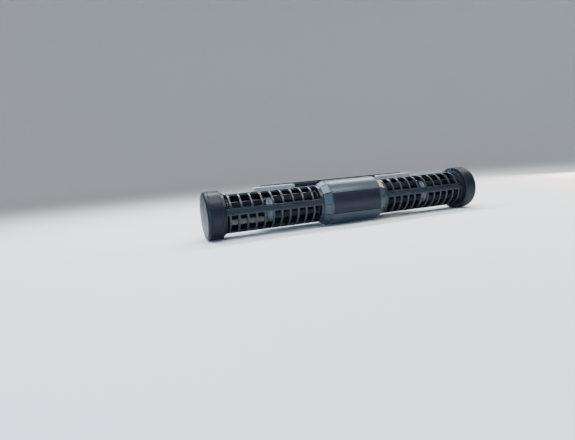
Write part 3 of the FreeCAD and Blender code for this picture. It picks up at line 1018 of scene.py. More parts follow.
@dataclass
class MotorBlock(Assembly):
    """Housing, badge panel, collars and cable gland.

    Attributes:
        wall: Thickness of the housing.
        panel_low: Lower angle of the recess for the panel.
        panel_high: Upper angle of the recess.
        panel_floor: Radius of the recess's floor.
        panel_gap: Angle left open beside the panel.
        gland_angle: Angle of the cable gland.
        collar_sides: Facets of a collar.
        collar_bore: Radius of its bore.
        collar_tip: Radius of its small end.
        collar_band: Width of the plain band beside the housing.
        band_bore: Bore of that band.
        notch_span: How far the slits stay from the ends of the taper.
        notch_half: Half width of the slits on its corners.
        notch_depth: Depth of the slits.
        rail_half: Half width of an aiming rail's neck and of its head.
        rail_rise: How far its neck and its head rise from the housing.
        boss: Start, length and radius of the boss under the gland.
        gland_hole: Radius of the hole that takes the gland.
        sleeve: Start, length and radius of the gland's sleeve.
        flange: Start, length and radius of the gland's flange.
        hexagon: Start, length and radius of its nut.
        cord_bore: Radius of the bore for the cord.
        drill: Start and length of the drill that opens a bore.
    """

    wall: float = 2.8
    panel_low: float = -28.0
    panel_high: float = 27.0
    panel_floor: float = 26.9
    panel_gap: float = 1.5
    gland_angle: float = 220.0
    collar_sides: int = 12
    collar_bore: float = 21.4
    collar_tip: float = 24.1
    collar_band: float = 1.8
    band_bore: float = 19.0
    notch_span: Point = (0.5, 1.6)
    notch_half: float = 0.55
    notch_depth: float = 1.3
    rail_half: Point = (1.5, 3.5)
    rail_rise: Point = (2.2, 4.5)
    boss: Triple = (-2.3, 4.5, 7.0)
    gland_hole: float = 5.0
    sleeve: Triple = (-4.2, 6.4, 4.9)
    flange: Triple = (2.2, 1.7, 6.6)
    hexagon: Triple = (3.9, 4.0, 6.6)
    cord_bore: float = 3.5
    drill: Point = (18.0, 20.0)

    def __post_init__(self) -> None:
        """Read the housing's size from the frame."""
        self.end = reach("housing_front", 0, 1)
        self.radius = reach("housing_front", 2, 1)
        self.collar_start = self.end + 0.3
        self.collar_end = reach("right_collar", 0, 1)

    def build(self) -> None:
        """Make every piece of the motor block."""
        self.place(self.front_shell(), "housing_front")
        self.place(self.rear_shell(), "housing_rear")
        self.place(self.panel(), "badge_panel")
        self.pair(self.collar, "collar")
        self.place(self.gland(), "cable_gland")
        self.place(self.nut(), "gland_nut")

    def half_shell(self, start: float) -> Blank:
        """Half of the housing's tube, from an angle on."""
        wall = band(-self.end, self.end, self.radius - self.wall, self.radius)
        return Blank().turn(wall, 60, start, 180)

    def front_shell(self) -> Blank:
        """Front half of the housing, recessed for the panel.

        Returns:
            The half shell.
        """
        outline = band(-self.end - 1, self.end + 1, self.panel_floor, self.radius + 1)
        recess = Blank().turn(outline, 18, self.panel_low, self.panel_high - self.panel_low)
        return self.half_shell(-90).carve(recess).soften(0.4, 3)

    def panel(self) -> Blank:
        """Plain curved panel with rounded rims.

        Returns:
            The panel.
        """
        start, sweep = self.panel_low + self.panel_gap, self.panel_high - self.panel_low
        outline = band(-self.end, self.end, self.panel_floor + 0.05, self.radius - 0.15)
        return Blank().turn(outline, 24, start, sweep - 2 * self.panel_gap).soften(0.3, 3)

    def rod(self, start: float, length: float, radius: float, sides: int = 48) -> Blank:
        """Cylinder or prism on the gland's own line.

        Args:
            start: Distance of its first end from the housing's surface.
            length: Its length.
            radius: Its radius.
            sides: Its number of sides.

        Returns:
            The rod.
        """
        out = outward(self.gland_angle)
        return Blank().drum(out * (self.radius + start), out, length, radius, sides)

    def bored(self, blank: Blank, radius: float) -> Blank:
        """Open a bore through a blank along the gland's own line."""
        start, length = self.drill
        return blank.carve(self.rod(start - self.radius, length, radius, 40))

    def rail(self, centre: float) -> Blank:
        """Aiming rail with a T-shaped section.

        Args:
            centre: Middle of the rail along the axis.

        Returns:
            The rail.
        """
        (neck, head), (under, top) = self.rail_half, self.rail_rise
        right = [(neck, -0.5), (neck, under), (head, under), (head, top)]
        section = [(-x, rise) for x, rise in right[:1]] + right
        section += [(-x, rise) for x, rise in reversed(right[1:])]
        outline = [(centre + x, self.radius + rise) for x, rise in section]
        return Blank().turn(outline, 32, 140, 80).soften(0.3, 2)

    def rear_shell(self) -> Blank:
        """Rear half of the housing, with aiming rails and the gland's boss.

        Returns:
            The half shell.
        """
        boss = self.bored(self.rod(*self.boss), self.gland_hole).soften(0.35, 2)
        shell = self.bored(self.half_shell(90), self.gland_hole).soften(0.4, 3)
        for centre in (-RAIL_CENTRE, RAIL_CENTRE):
            shell.join(self.rail(centre))
        return shell.join(boss)

    def collar(self) -> Blank:
        """Faceted shoulder with slits along its corners, and the band beside the housing.

        Returns:
            The right-hand collar.
        """
        foot, tip = self.collar_start + self.collar_band, self.collar_tip
        bore = self.collar_bore / math.cos(math.pi / self.collar_sides)
        outline = [
            (foot, self.radius),
            (self.collar_end, tip),
            (self.collar_end, bore),
            (foot, bore),
        ]
        taper = Blank().turn(outline, self.collar_sides).heal()
        low, high = foot + self.notch_span[0], self.collar_end - self.notch_span[1]
        for x in (low, high):
            geometry = [*taper.mesh.verts, *taper.mesh.edges, *taper.mesh.faces]
            bmesh.ops.bisect_plane(
                taper.mesh, geom=geometry, plane_co=(x, 0, 0), plane_no=(1, 0, 0)
            )
        corners = []
        for edge in taper.mesh.edges:
            ends = [v.co for v in edge.verts]
            outer = all(v.yz.length > tip - 0.1 for v in ends)
            if outer and abs(ends[0].x - ends[1].x) > 0.2:
                corners.append(edge)
        taper.bevel(corners, self.notch_half, 1)
        strips = []
        for face in taper.mesh.faces:
            middle = face.calc_center_median()
            lengths = [edge.calc_length() for edge in face.edges]
            narrow = min(lengths) < 2 * self.notch_half + 0.1 and max(lengths) > 3
            if narrow and low < middle.x < high and middle.yz.length > tip - 0.2:
                strips.append(face)
        bmesh.ops.inset_individual(
            taper.mesh, faces=strips, thickness=0.04, depth=-self.notch_depth
        )
        ring = Blank().turn(band(self.collar_start, foot, self.band_bore, self.radius))
        return taper.soften(0.22, 2, 18).join(ring.soften(0.3, 3))

    def gland(self) -> Blank:
        """Screwed sleeve with a flange and an open bore.

        Returns:
            The gland.
        """
        sleeve, flange = (
            self.bored(self.rod(*size), self.cord_bore).soften(0.25, 2)
            for size in (self.sleeve, self.flange)
        )
        return flange.join(sleeve)

    def nut(self) -> Blank:
        """Six-sided nut with rounded corners and an open bore."""
        return self.bored(self.rod(*self.hexagon, 6), self.cord_bore).soften(0.35, 3)


@dataclass
class Cage(Assembly):
    """Both grilles of a side, with its end cap and cap cover.

    Attributes:
        wall: Thickness of the grilles.
        windows_start: Where the openings start along the axis.
        windows_end: Where they end.
        first_rib: Middle of the first rib.
        parting: Angle where the two grilles meet.
        upper_window: Lower and upper angle of the upper openings.
        lower_window: Lower and upper angle of the lower openings.
        upper_ribs: Pitch, number and width of the upper ribs.
        lower_ribs: Pitch, number and width of the lower ribs.
        groove_start: Where the parting groove starts.
        groove: Lower and upper angle of the groove.
        groove_depth: Its depth.
        cap_seam: Where the cover meets the drum.
        neck_start: Where the cap's neck sleeve starts.
        cap_wall: Thickness of the cap.
        bush_bore: Radius of the opening for the bush.
        cap_groove: Middle, half width at its top and bottom, and depth of the cap's groove.
        crown: How far the dome has dropped at some radii.
        hollow: The dome's inner side, as (x, radius) corners.
        shoulder: Rounding of the dome's shoulder.
        gusset_toe: Where a brace starts.
        gusset_rim: Width of the rim round its hole.
        gusset_thickness: Its thickness.
        gussets: Angles of the braces between cage and cap.
    """

    wall: float = 2.4
    windows_start: float = 47.1
    windows_end: float = 165.2
    first_rib: float = 57.2
    parting: float = 14.0
    upper_window: Point = (19.0, 80.0)
    lower_window: Point = (-82.0, -1.0)
    upper_ribs: tuple[float, int, float] = (12.74, 9, 2.0)
    lower_ribs: tuple[float, int, float] = (10.38, 11, 2.2)
    groove_start: float = 50.0
    groove: Point = (12.2, 15.4)
    groove_depth: float = 1.7
    cap_seam: float = 183.0
    neck_start: float = 164.4
    cap_wall: float = 2.2
    bush_bore: float = 6.8
    cap_groove: tuple[float, float, float, float] = (170.1, 0.4, 0.2, 0.35)
    crown: tuple[Point, ...] = ((0.0, 0.0), (0.3, 9.0), (1.05, 18.0))
    hollow: tuple[Point, ...] = ((180.0, 24.2), (183.4, 24.2), (185.2, 15.0), (186.0, 0.0))
    shoulder: float = 3.6
    gusset_toe: float = 162.4
    gusset_rim: float = 0.8
    gusset_thickness: float = 1.6
    gussets: tuple[float, ...] = (90.0, -90.0, 150.0, 210.0)

    def __post_init__(self) -> None:
        """Read the cage's size from the frame."""
        self.start = reach("right_upper_grille", 0, 0)
        self.end = reach("right_upper_grille", 0, 1)
        self.radius = reach("right_upper_grille", 2, 1)
        self.cap_radius = reach("right_end_cap", 2, 1)
        self.tip = reach("right_cap_cover", 0, 1)
        self.cap_start = self.end + 0.6

    def build(self) -> None:
        """Make both cages."""
        self.pair(self.upper_grille, "upper_grille")
        self.pair(self.lower_grille, "lower_grille")
        self.pair(self.end_cap, "end_cap")
        self.pair(self.cover, "cap_cover")

    def rib_edges(self, ribs: tuple[float, int, float]) -> list[float]:
        """Both edges of every rib along the axis.

        Args:
            ribs: Pitch, number and width of the ribs.

        Returns:
            Low and high edges in turn.
        """
        pitch, count, width = ribs
        middles = [self.first_rib + pitch * index for index in range(count)]
        return [middle + side * width / 2 for middle in middles for side in (-1, 1)]

    def grille(
        self,
        window: Point,
        ribs: tuple[float, int, float],
        start: float,
        arcs: list[tuple[float, int]],
    ) -> Blank:
        """Skin of one grille with its openings, given a wall and rounded edges.

        Args:
            window: Lower and upper angle of the openings.
            ribs: Pitch, number and width of the ribs.
            start: Angle that the skin starts from.
            arcs: Sweep and facets of each arc of the skin.

        Returns:
            The grille.
        """
        edges = self.rib_edges(ribs)
        stations = [self.start, self.windows_start, self.groove_start, *edges]
        stations += [self.windows_end, self.end]

        def is_open(x: float, angle: float) -> bool:
            """Whether a place on the skin is open.

            Args:
                x: Its place along the axis.
                angle: Its angle.

            Returns:
                True inside an opening or the groove.
            """
            if self.groove[0] < angle < self.groove[1] and x > self.groove_start:
                return True
            if not (window[0] < angle < window[1] and self.windows_start < x < self.windows_end):
                return False
            return not any(low < x < high for low, high in zip(edges[::2], edges[1::2]))

        skin = Blank().skin(stations, self.radius, start, arcs).open_up(is_open)
        return skin.thicken(self.wall).soften(0.3, 2, 30)

    def upper_grille(self) -> Blank:
        """Upper half of the cage, with wide openings.

        Returns:
            The right-hand grille.
        """
        low, high = self.upper_window
        arcs = [
            (self.groove[1] - self.parting, 1),
            (low - self.groove[1], 1),
            (high - low, 22),
            (self.parting + 180 - high, 34),
        ]
        return self.grille(self.upper_window, self.upper_ribs, self.parting, arcs)

    def lower_grille(self) -> Blank:
        """Lower half of the cage, with finer openings, the spine and the groove's floor.

        Returns:
            The right-hand grille.
        """
        low, high = self.lower_window
        arcs = [
            (low - self.parting + 180, 28),
            (high - low, 28),
            (self.groove[0] - high, 5),
            (self.parting - self.groove[0], 1),
        ]
        lattice = self.grille(self.lower_window, self.lower_ribs, self.parting - 180, arcs)
        bottom = self.radius - self.groove_depth
        outline = band(self.groove_start, self.end, self.radius - self.wall, bottom)
        sweep = self.groove[1] - self.groove[0] + 0.3
        return lattice.join(Blank().turn(outline, 2, self.groove[0] - 0.4, sweep).heal())

    def gusset(self, angle: float) -> Blank:
        """Three-cornered brace with a three-cornered hole in it.

        Args:
            angle: Angle that the brace stands at.

        Returns:
            The brace.
        """
        foot, heel = self.radius + 0.1, self.cap_start + 0.5
        brace = Blank()
        outline = [(self.gusset_toe, foot), (heel, foot), (heel, self.cap_radius - 0.4)]
        face = brace.mesh.faces.new(brace.chain(outline, True)[:3])
        brace.mesh.normal_update()
        rim = bmesh.ops.inset_region(
            brace.mesh,
            faces=[face],
            use_boundary=True,
            thickness=self.gusset_rim,
            use_even_offset=True,
        )
        bmesh.ops.delete(brace.mesh, geom=[face], context="FACES")
        made = bmesh.ops.extrude_face_region(brace.mesh, geom=rim["faces"])["geom"]
        raised = [g for g in made if isinstance(g, bmesh.types.BMVert)]
        lift, drop = (0, 0, self.gusset_thickness), (0, 0, -self.gusset_thickness / 2)
        bmesh.ops.translate(brace.mesh, verts=raised, vec=lift)
        bmesh.ops.translate(brace.mesh, verts=brace.mesh.verts, vec=drop)
        return brace.soften(0.22, 2).swing(angle)

    def end_cap(self) -> Blank:
        """Drum with its neck sleeve, a shallow groove near the neck, and braces.

        Returns:
            The right-hand cap.
        """
        radius, start, wall = self.cap_radius, self.cap_start, self.cap_wall
        seam = self.cap_seam - 0.12
        middle, top, bottom, depth = self.cap_groove
        outline = [
            (self.neck_start, self.radius + 0.05),
            (start, self.radius + 0.05),
            (start, self.bush_bore),
            (start + wall, self.bush_bore),
            (start + wall, radius - wall),
            (seam, radius - wall),
            (seam, radius),
            (middle + top, radius),
            (middle + bottom, radius - depth),
            (middle - bottom, radius - depth),
            (middle - top, radius),
            (start, radius),
            (start, self.radius + 1.0),
            (self.neck_start, self.radius + 0.6),
        ]
        drum = Blank().turn(outline, 120).soften(0.28, 3)
        for angle in self.gussets:
            drum.join(self.gusset(angle))
        return drum

    def cover(self) -> Blank:
        """Domed cover with a rounded shoulder and a spigot inside the drum.

        Returns:
            The right-hand cover.
        """
        radius, seam = self.cap_radius, self.cap_seam + 0.12
        spigot = radius - self.cap_wall - 0.05
        outline = [(self.tip - drop, at) for drop, at in self.crown]
        outline += [(self.tip - 1.2, radius), (seam, radius), (seam, spigot)]
        outline += [(self.hollow[0][0], spigot), *self.hollow]
        dome = Blank().turn(outline, 120).heal()
        rim = []
        for edge in dome.mesh.edges:
            if all(v.co.yz.length > radius - 0.05 and v.co.x > seam + 0.88 for v in edge.verts):
                rim.append(edge)
        return dome.bevel(rim, self.shoulder, 8).soften(0.25, 2, 40)


@dataclass
class Rotor(Assembly):
    """Discs, hub and vanes of a rotor.

    Attributes:
        bore: Radius of the bore for the shaft.
        hub: Where the mid hub starts and ends.
        hub_radius: Its radius.
        waist: Start, full depth and depth of the hub's waist, from either end.
        flange: Thickness of the flanges beside it.
        inner_disc: Where the disc at the motor end starts and ends.
        neck: Start, step and radii of the neck that plugs the magnet's sleeve.
        outer_disc: Where the disc at the cap end starts and ends.
        vanes: Vanes in a set.
        vane_edge: Radius of a vane's inner edge.
        vane_thickness: Its thickness.
        tip_share: How much of the thickness is left at its tip.
        inner_angle: Angle of the first vane of the inner set.
        outer_angle: Angle of the first vane of the outer set.
    """

    bore: float = 1.55
    hub: Point = (106.2, 113.8)
    hub_radius: float = 14.7
    waist: Triple = (2.2, 2.6, 0.4)
    flange: float = 1.5
    inner_disc: Point = (47.0, 49.2)
    neck: tuple[float, float, float, float] = (38.02, 40.0, 11.0, 5.0)
    outer_disc: Point = (160.0, 162.0)
    vanes: int = 4
    vane_edge: float = 10.8
    vane_thickness: float = 1.4
    tip_share: float = 0.72
    inner_angle: float = 61.0
    outer_angle: float = 48.0

    def __post_init__(self) -> None:
        """Read the rotor's radius from the frame."""
        self.radius = reach("right_outer_disc", 2, 1)

    def build(self) -> None:
        """Make both rotors."""
        self.pair(self.motor_disc, "inner_disc")
        self.pair(self.cap_disc, "outer_disc")
        self.pair(self.mid_hub, "mid_hub")
        self.pair(self.inner_set, "inner_vanes")
        self.pair(self.outer_set, "outer_vanes")

    def motor_disc(self) -> Blank:
        """Disc with a rolled rim, on a neck that plugs the magnet's sleeve.

        Returns:
            The right-hand disc.
        """
        start, end = self.inner_disc
        plug, step, wide, slim = self.neck
        outline = [
            (plug, self.bore),
            (end, self.bore),
            (end, self.radius),
            (start, self.radius),
            (start, slim),
            (step, slim),
            (step, wide),
            (plug, wide),
        ]
        return Blank().turn(outline).soften(0.35, 3)

    def cap_disc(self) -> Blank:
        """Plain disc with a rounded rim."""
        return Blank().turn(band(*self.outer_disc, self.bore, self.radius)).soften(0.35, 3)

    def mid_hub(self) -> Blank:
        """Drum half way along, with a shallow waist.

        Returns:
            The right-hand hub.
        """
        (start, end), radius = self.hub, self.hub_radius
        near, far, depth = self.waist
        outline = [
            (start, self.bore),
            (end, self.bore),
            (end, radius),
            (end - near, radius),
            (end - far, radius - depth),
            (start + far, radius - depth),
            (start + near, radius),
            (start, radius),
        ]
        return Blank().turn(outline).soften(0.25, 2, 35)

    def vane_set(self, span: Point, flange: Point, first: float) -> Blank:
        """Vanes that thin towards their tips, on a flange against the hub.

        Args:
            span: Where the vanes start and end.
            flange: Where the flange starts and ends.
            first: Angle of the first vane.

        Returns:
            The set.
        """
        vanes = Blank()
        half = self.vane_thickness / 2
        for index in range(self.vanes):
            blade = Blank().block(span, (-self.radius, -self.vane_edge), (-half, half))
            tips = [v for v in blade.mesh.verts if v.co.y < -self.radius + 0.01]
            bmesh.ops.scale(blade.mesh, verts=tips, vec=(1, 1, self.tip_share))
            vanes.join(blade.soften(0.3, 3).swing(first + 360 / self.vanes * index))
        plate = Blank().turn(band(*flange, self.bore, self.hub_radius), 72)
        return vanes.join(plate.soften(0.25, 2))

    def inner_set(self) -> Blank:
        """Vanes between the motor end and the hub."""
        end = self.hub[0]
        return self.vane_set((self.inner_disc[1], end), (end - self.flange, end), self.inner_angle)

    def outer_set(self) -> Blank:
        """Vanes between the hub and the cap end."""
        start = self.hub[1]
        flange = (start, start + self.flange)
        return self.vane_set((start, self.outer_disc[0]), flange, self.outer_angle)


@dataclass
class Bracket(Assembly):
    """Back plate, arms, saddle, magnet pods, pads and screws.

    Attributes:
        plate_half: Half length of the plate.
        plate: Front and back of the plate, behind the axis.
        plate_z: Its bottom and top.
        plate_corner: Rounding of its corners.
        notch: Low and high faces of the plate's notch for the cord.
        arm_start: Where an arm starts beside the middle.
        arm_front: Front of an arm.
        arm_bottom: Its bottom.
        jaw: Where a jaw of the saddle starts and ends.
        jaw_front: Its front.
        jaw_half: Half its height.
        play: Gap round the housing and its rails.
        rail_slots: Half width, start and end of each step of a rail's slot.
        screw_x: Screw positions along the axis.
        screw_z: Screw heights.
        pilot: Radius of the hole for a screw.
        seat: Radius and depth of the seat for its head.
        head: Length and radius of its head.
        shank: Length and radius of its shank.
        slot: Half width and floor of the slot in its head.
        pod_x: Where a pod starts and ends.
        pod_front: Its front.
        pod_z: Its bottom and top.
        pod_corner: Rounding of its corners and of its front rim.
        pod_hole: Start and length of a screw hole in a pod.
        pocket_x: Where the magnet's pocket starts and ends.
        pocket_z: Its bottom and top.
        pocket_front: Its front.
        pad_x: Ends of a pad.
        pad_z: Its bottom and top.
        centre_x: Ends of the middle pad.
        centre_z: Its bottom and top.
        pad_corner: Rounding of the corners of a pad and of the middle one.
        border: Width of a pad's border, and width and depth of the step inside it.
    """

    plate_half: float = 109.0
    plate: Point = (34.6, 36.6)
    plate_z: Point = (-17.0, 28.1)
    plate_corner: float = 5.0
    notch: tuple[Point, Point, Point] = ((-10.0, 10.0), (30.0, 40.0), (-30.0, -5.0))
    arm_start: float = 27.0
    arm_front: float = 29.3
    arm_bottom: float = 6.0
    jaw: Point = (13.0, 28.0)
    jaw_front: float = 22.0
    jaw_half: float = 17.0
    play: float = 0.35
    rail_slots: tuple[Triple, ...] = ((1.85, -1.0, 2.0), (3.85, 1.5, 4.5))
    screw_x: Point = (64.6, 105.4)
    screw_z: Point = (-11.0, 19.0)
    pilot: float = 1.15
    seat: Point = (2.25, 1.1)
    head: Point = (1.0, 2.2)
    shank: Point = (5.0, 1.1)
    slot: Point = (0.3, 0.5)
    pod_x: Point = (61.0, 118.0)
    pod_front: float = 26.2
    pod_z: Point = (-19.0, 26.7)
    pod_corner: Point = (3.2, 1.5)
    pod_hole: Point = (29.9, 6.0)
    pocket_x: Point = (68.0, 102.0)
    pocket_z: Point = (-15.5, 23.4)
    pocket_front: float = 28.2
    pad_x: Point = (69.5, 100.5)
    pad_z: Point = (-14.0, 24.4)
    centre_x: Point = (-9.0, 9.0)
    centre_z: Point = (-4.0, 23.0)
    pad_corner: Point = (4.0, 3.0)
    border: Triple = (2.0, 0.5, 0.35)

    def build(self) -> None:
        """Make every piece of the bracket."""
        self.place(self.frame_body(), "bracket_frame")
        self.pair(self.pod, "magnet_pod")
        self.pair(self.pad, "glass_pad")
        self.place(self.middle_pad(), "centre_pad")
        self.place(self.screws(), "pod_screws")

    def screw_places(self) -> list[Point]:
        """x and z of every screw, on both sides."""
        return [(side * x, z) for side in (-1, 1) for x in self.screw_x for z in self.screw_z]

    def rods(self, start: float, length: float, radius: float, sides: int) -> Blank:
        """A rod at every screw, from front to back.

        Args:
            start: Where the rods start, behind the axis.
            length: Their length.
            radius: Their radius.
            sides: Their number of sides.

        Returns:
            All the rods.
        """
        rods = Blank()
        for x, z in self.screw_places():
            rods.drum(Vector((x, start, z)), Vector((0, 1, 0)), length, radius, sides)
        return rods

    def rounded(self, x: Point, y: Point, z: Point, corner: float) -> Blank:
        """Block whose edges that run front to back are rounded.

        Args:
            x: Its ends along the axis.
            y: Its front and back.
            z: Its bottom and top.
            corner: Rounding of its corners.

        Returns:
            The block.
        """
        block = Blank().block(x, y, z)
        edges = []
        for edge in block.mesh.edges:
            start, end = (v.co for v in edge.verts)
            if abs((start - end).normalized().y) > 0.99:
                edges.append(edge)
        return block.bevel(edges, corner, 7)

    def limb(self, side: int, x: Point, front: float, z: Point) -> Blank:
        """Arm or jaw that reaches forward from the plate, clear of the motor block.

        Args:
            side: 1 for the right and -1 for the left.
            x: Where it starts and ends beside the middle.
            front: Its front.
            z: Its bottom and top.

        Returns:
            The limb.
        """
        low, high = sorted(side * end for end in x)
        limb = Blank().block((low, high), (front, self.plate[0]), z)
        radius = reach("housing_front", 2, 1) + self.play
        reach_out = self.jaw[1] + 1
        limb.carve(Blank().turn(band(-reach_out, reach_out, 0, radius), 120))
        middle = side * RAIL_CENTRE
        for half, start, end in self.rail_slots:
            slot = band(middle - half, middle + half, radius + start, radius + end)
            limb.carve(Blank().turn(slot, 60, 120, 120))
        return limb.soften(0.4, 2, 35)

    def frame_body(self) -> Blank:
        """Back plate with counterbored holes, two arms and a saddle with rail slots.

        Returns:
            The frame.
        """
        front, back = self.plate
        half = self.plate_half
        plate = self.rounded((-half, half), self.plate, self.plate_z, self.plate_corner)
        plate.carve(self.rods(front - 1, 4, self.pilot, 20))
        plate.carve(self.rods(back - self.seat[1], 4, self.seat[0], 28))
        plate.carve(Blank().block(*self.notch)).soften(0.35, 2)
        arm_x, arm_z = (self.arm_start, self.pod_x[0] - 0.1), (self.arm_bottom, self.pod_z[1])
        jaw_z = (-self.jaw_half, self.jaw_half)
        for side in (-1, 1):
            plate.join(self.limb(side, arm_x, self.arm_front, arm_z))
            plate.join(self.limb(side, self.jaw, self.jaw_front, jaw_z))
        return plate

    def pod(self) -> Blank:
        """Soft-cornered housing with a pocket and screw holes at its back.

        Returns:
            The right-hand pod.
        """
        corner, rim = self.pod_corner
        pod = self.rounded(self.pod_x, (self.pod_front, self.plate[0]), self.pod_z, corner)
        near = self.pod_front + 0.01
        pod.bevel([e for e in pod.mesh.edges if all(v.co.y < near for v in e.verts)], rim, 4)
        pocket = (self.pocket_front, self.plate[0] + 1)
        pod.carve(Blank().block(self.pocket_x, pocket, self.pocket_z))
        return pod.carve(self.rods(*self.pod_hole, self.pilot, 20)).soften(0.25, 2, 40)

    def pad(self) -> Blank:
        """Rubber pad with a raised border and a dished face."""
        return self.cushion(self.pad_x, self.pad_z, self.pad_corner[0])

    def middle_pad(self) -> Blank:
        """Smaller pad behind the motor block."""
        return self.cushion(self.centre_x, self.centre_z, self.pad_corner[1])

    def cushion(self, x: Point, z: Point, corner: float) -> Blank:
        """Pad whose face is dished inside a border.

        Args:
            x: Its ends along the axis.
            z: Its bottom and top.
            corner: Rounding of its corners.

        Returns:
            The pad.
        """
        back = -AXIS_Y
        pad = self.rounded(x, (self.plate[1], back), z, corner)
        near = back - 0.01
        face = [f for f in pad.mesh.faces if f.calc_center_median().y > near and f.calc_area() > 50]
        border, step, depth = self.border
        for width, drop in ((border, 0.0), (step, -depth)):
            bmesh.ops.inset_region(
                pad.mesh, faces=face, thickness=width, depth=drop, use_even_offset=True
            )
        return pad.soften(0.3, 2, 30)

    def screws(self) -> Blank:
        """Slotted screws, with their heads sunk in the plate.

        Returns:
            All the screws.
        """
        screws = Blank()
        start, back = self.plate[1] - self.seat[1], Vector((0, 1, 0))
        (thick, wide), (long, slim), (half, floor) = self.head, self.shank, self.slot
        for x, z in self.screw_places():
            head = Blank().drum(Vector((x, start, z)), back, thick, wide, 32)
            slot = Blank().block((x - 3, x + 3), (start + floor, start + 3), (z - half, z + half))
            shank = Blank().drum(Vector((x, start - long, z)), back, long, slim, 20)
            screws.join(head.carve(slot).soften(0.12, 2, 40)).join(shank.soften(0.2, 2))
        return screws


# Setting -------------------------------------------------------------------


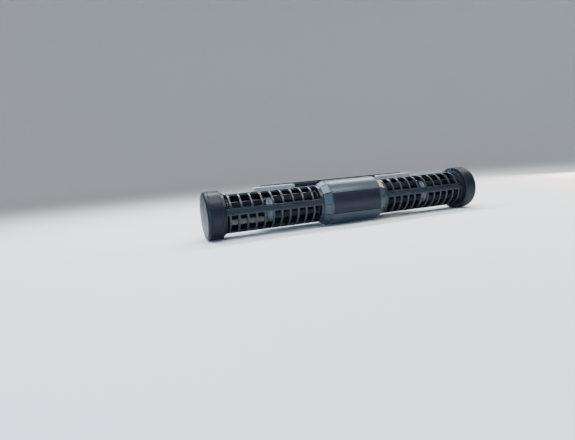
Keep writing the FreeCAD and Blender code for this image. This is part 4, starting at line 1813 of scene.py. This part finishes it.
@dataclass
class Studio:
    """Pale floor, soft lights and the camera. Distances are in metres.

    Attributes:
        azimuth: Camera's place round the pump, from the front, in degrees.
        elevation: Its height, in degrees.
        distance: Its distance from the middle of the axis.
        focal: Focal length, in the same unit as the picture's width.
        picture_width: Width of the picture.
        roll: Roll of the camera in degrees.
        pan: Turn of the view to the right in degrees.
        tilt: Turn of the view upwards in degrees.
        sensor: Width of the camera's sensor in millimetres.
        floor_profile: Corners of the floor's section, as distance and rise.
        sweep: Rounding where the floor rises into the wall, and its facets.
        lamps: Name, place, size, power in watts and colour of each light.
    """

    azimuth: float = -28.0
    elevation: float = 5.0
    distance: float = 0.56609
    focal: float = 430.0
    picture_width: float = 575.0
    roll: float = -4.757
    pan: float = -8.1
    tilt: float = -2.1
    sensor: float = 36.0
    floor_profile: tuple[Point, ...] = ((0.0, 0.0), (1.9, 0.0), (3.0, 0.0), (3.0, 2.6))
    sweep: tuple[float, int] = (1.0, 12)
    lamps: tuple[tuple[str, Triple, Point, float, Triple], ...] = (
        ("key", (-0.10, -0.24, 0.92), (1.4, 0.22), 17.0, (0.86, 0.94, 1.0)),
        ("back_strip", (0.0, 0.38, 0.62), (1.3, 0.12), 15.0, (0.82, 0.92, 1.0)),
        ("cool_side", (-0.60, -0.72, 0.12), (0.07, 0.6), 7.0, (0.36, 0.62, 1.0)),
        ("warm_rim", (0.80, 0.22, 0.25), (0.12, 0.5), 4.0, (1.0, 0.72, 0.55)),
    )

    def build(self) -> None:
        """Make the setting."""
        self.camera()
        self.floor()
        for lamp in self.lamps:
            self.light(*lamp)
        self.surroundings()

    def camera(self) -> None:
        """Camera at the viewing angle, with no shift."""
        around, above = math.radians(self.azimuth), math.radians(self.elevation)
        flat = math.cos(above)
        back = Vector((math.sin(around) * flat, -math.cos(around) * flat, math.sin(above)))
        up = Vector((0, 0, 1))
        ahead = -back
        right = ahead.cross(up).normalized()
        pan, tilt, roll = (math.radians(a) for a in (self.pan, self.tilt, self.roll))
        turned = right * math.sin(pan) + right.cross(ahead) * math.sin(tilt)
        ahead = (ahead * math.cos(pan) * math.cos(tilt) + turned).normalized()
        right = ahead.cross(up).normalized()
        over = right.cross(ahead)
        across = right * math.cos(roll) + over * math.sin(roll)
        over = over * math.cos(roll) - right * math.sin(roll)
        pose = Matrix((across, over, -ahead)).transposed().to_4x4()
        pose.translation = Vector((0, AXIS_Y * MM, 0)) + back * self.distance
        data = bpy.data.cameras.new("camera")
        data.sensor_width = self.sensor
        data.lens = self.focal / self.picture_width * self.sensor
        data.clip_start = 0.01
        camera = stand("camera", data)
        camera.matrix_world = pose
        bpy.context.scene.camera = camera

    def floor(self) -> None:
        """Plain pale floor under the caps, swept up all round into a wall."""
        low = CAD_BOX[0][2] - 0.0002
        mesh = bmesh.new()
        made = [mesh.verts.new((x, 0, low + rise)) for x, rise in self.floor_profile]
        made += [mesh.edges.new(pair) for pair in zip(made, made[1:])]
        whole = {"angle": math.tau, "steps": 64, "use_merge": True}
        bmesh.ops.spin(mesh, geom=made, cent=(0, 0, 0), axis=(0, 0, 1), **whole)
        bmesh.ops.remove_doubles(mesh, verts=mesh.verts, dist=0.0001)
        edge_of_floor = self.floor_profile[2][0] - 0.1
        corner = []
        for edge in mesh.edges:
            if all(v.co.z < low + 1e-6 and v.co.xy.length > edge_of_floor for v in edge.verts):
                corner.append(edge)
        bmesh.ops.bevel(
            mesh,
            geom=corner,
            offset=self.sweep[0],
            offset_type="OFFSET",
            segments=self.sweep[1],
            profile=0.5,
            affect="EDGES",
            material=-1,
        )
        bmesh.ops.recalc_face_normals(mesh, faces=mesh.faces)
        bmesh.ops.reverse_faces(mesh, faces=mesh.faces)
        for face in mesh.faces:
            face.smooth = True
        data = bpy.data.meshes.new("studio_floor")
        mesh.to_mesh(data)
        mesh.free()
        material = bpy.data.materials.new("studio_floor")
        material.use_nodes = True
        constants = {
            "Base Color": (0.80, 0.81, 0.82, 1),
            "Roughness": 0.7,
            "Specular IOR Level": 0.15,
        }
        preset(material.node_tree.nodes["Principled BSDF"], constants)
        data.materials.append(material)
        stand("studio_floor", data)

    def light(self, name: str, place: Triple, size: Point, power: float, colour: Triple) -> None:
        """Add a soft rectangular light that faces the middle of the pump.

        Args:
            name: Name of the light.
            place: Where it stands.
            size: Its width and height.
            power: Its power in watts.
            colour: Its colour.
        """
        data = bpy.data.lights.new(name, "AREA")
        data.shape = "RECTANGLE"
        data.size, data.size_y = size
        data.energy = power
        data.color = colour
        lamp = stand(name, data)
        lamp.location = place
        line = Vector((0.0, AXIS_Y * MM, 0.0)) - Vector(place)
        lamp.rotation_euler = line.to_track_quat("-Z", "Y").to_euler()

    def surroundings(self) -> None:
        """Even pale surroundings."""
        world = bpy.data.worlds.new("surroundings")
        world.use_nodes = True
        constants = {"Color": (0.86, 0.89, 0.93, 1), "Strength": 0.42}
        preset(world.node_tree.nodes["Background"], constants)
        bpy.context.scene.world = world


def main() -> None:
    """Build the whole scene in order."""
    logging.basicConfig(level=logging.INFO, format="%(name)s %(message)s")
    Studio().build()
    palette = Palette()
    palette.dress_frame()
    for assembly in (MotorBlock, Cage, Rotor, Bracket):
        LOG.info("building %s", assembly.__name__)
        assembly(palette).build()


if __name__ == "__main__":
    main()
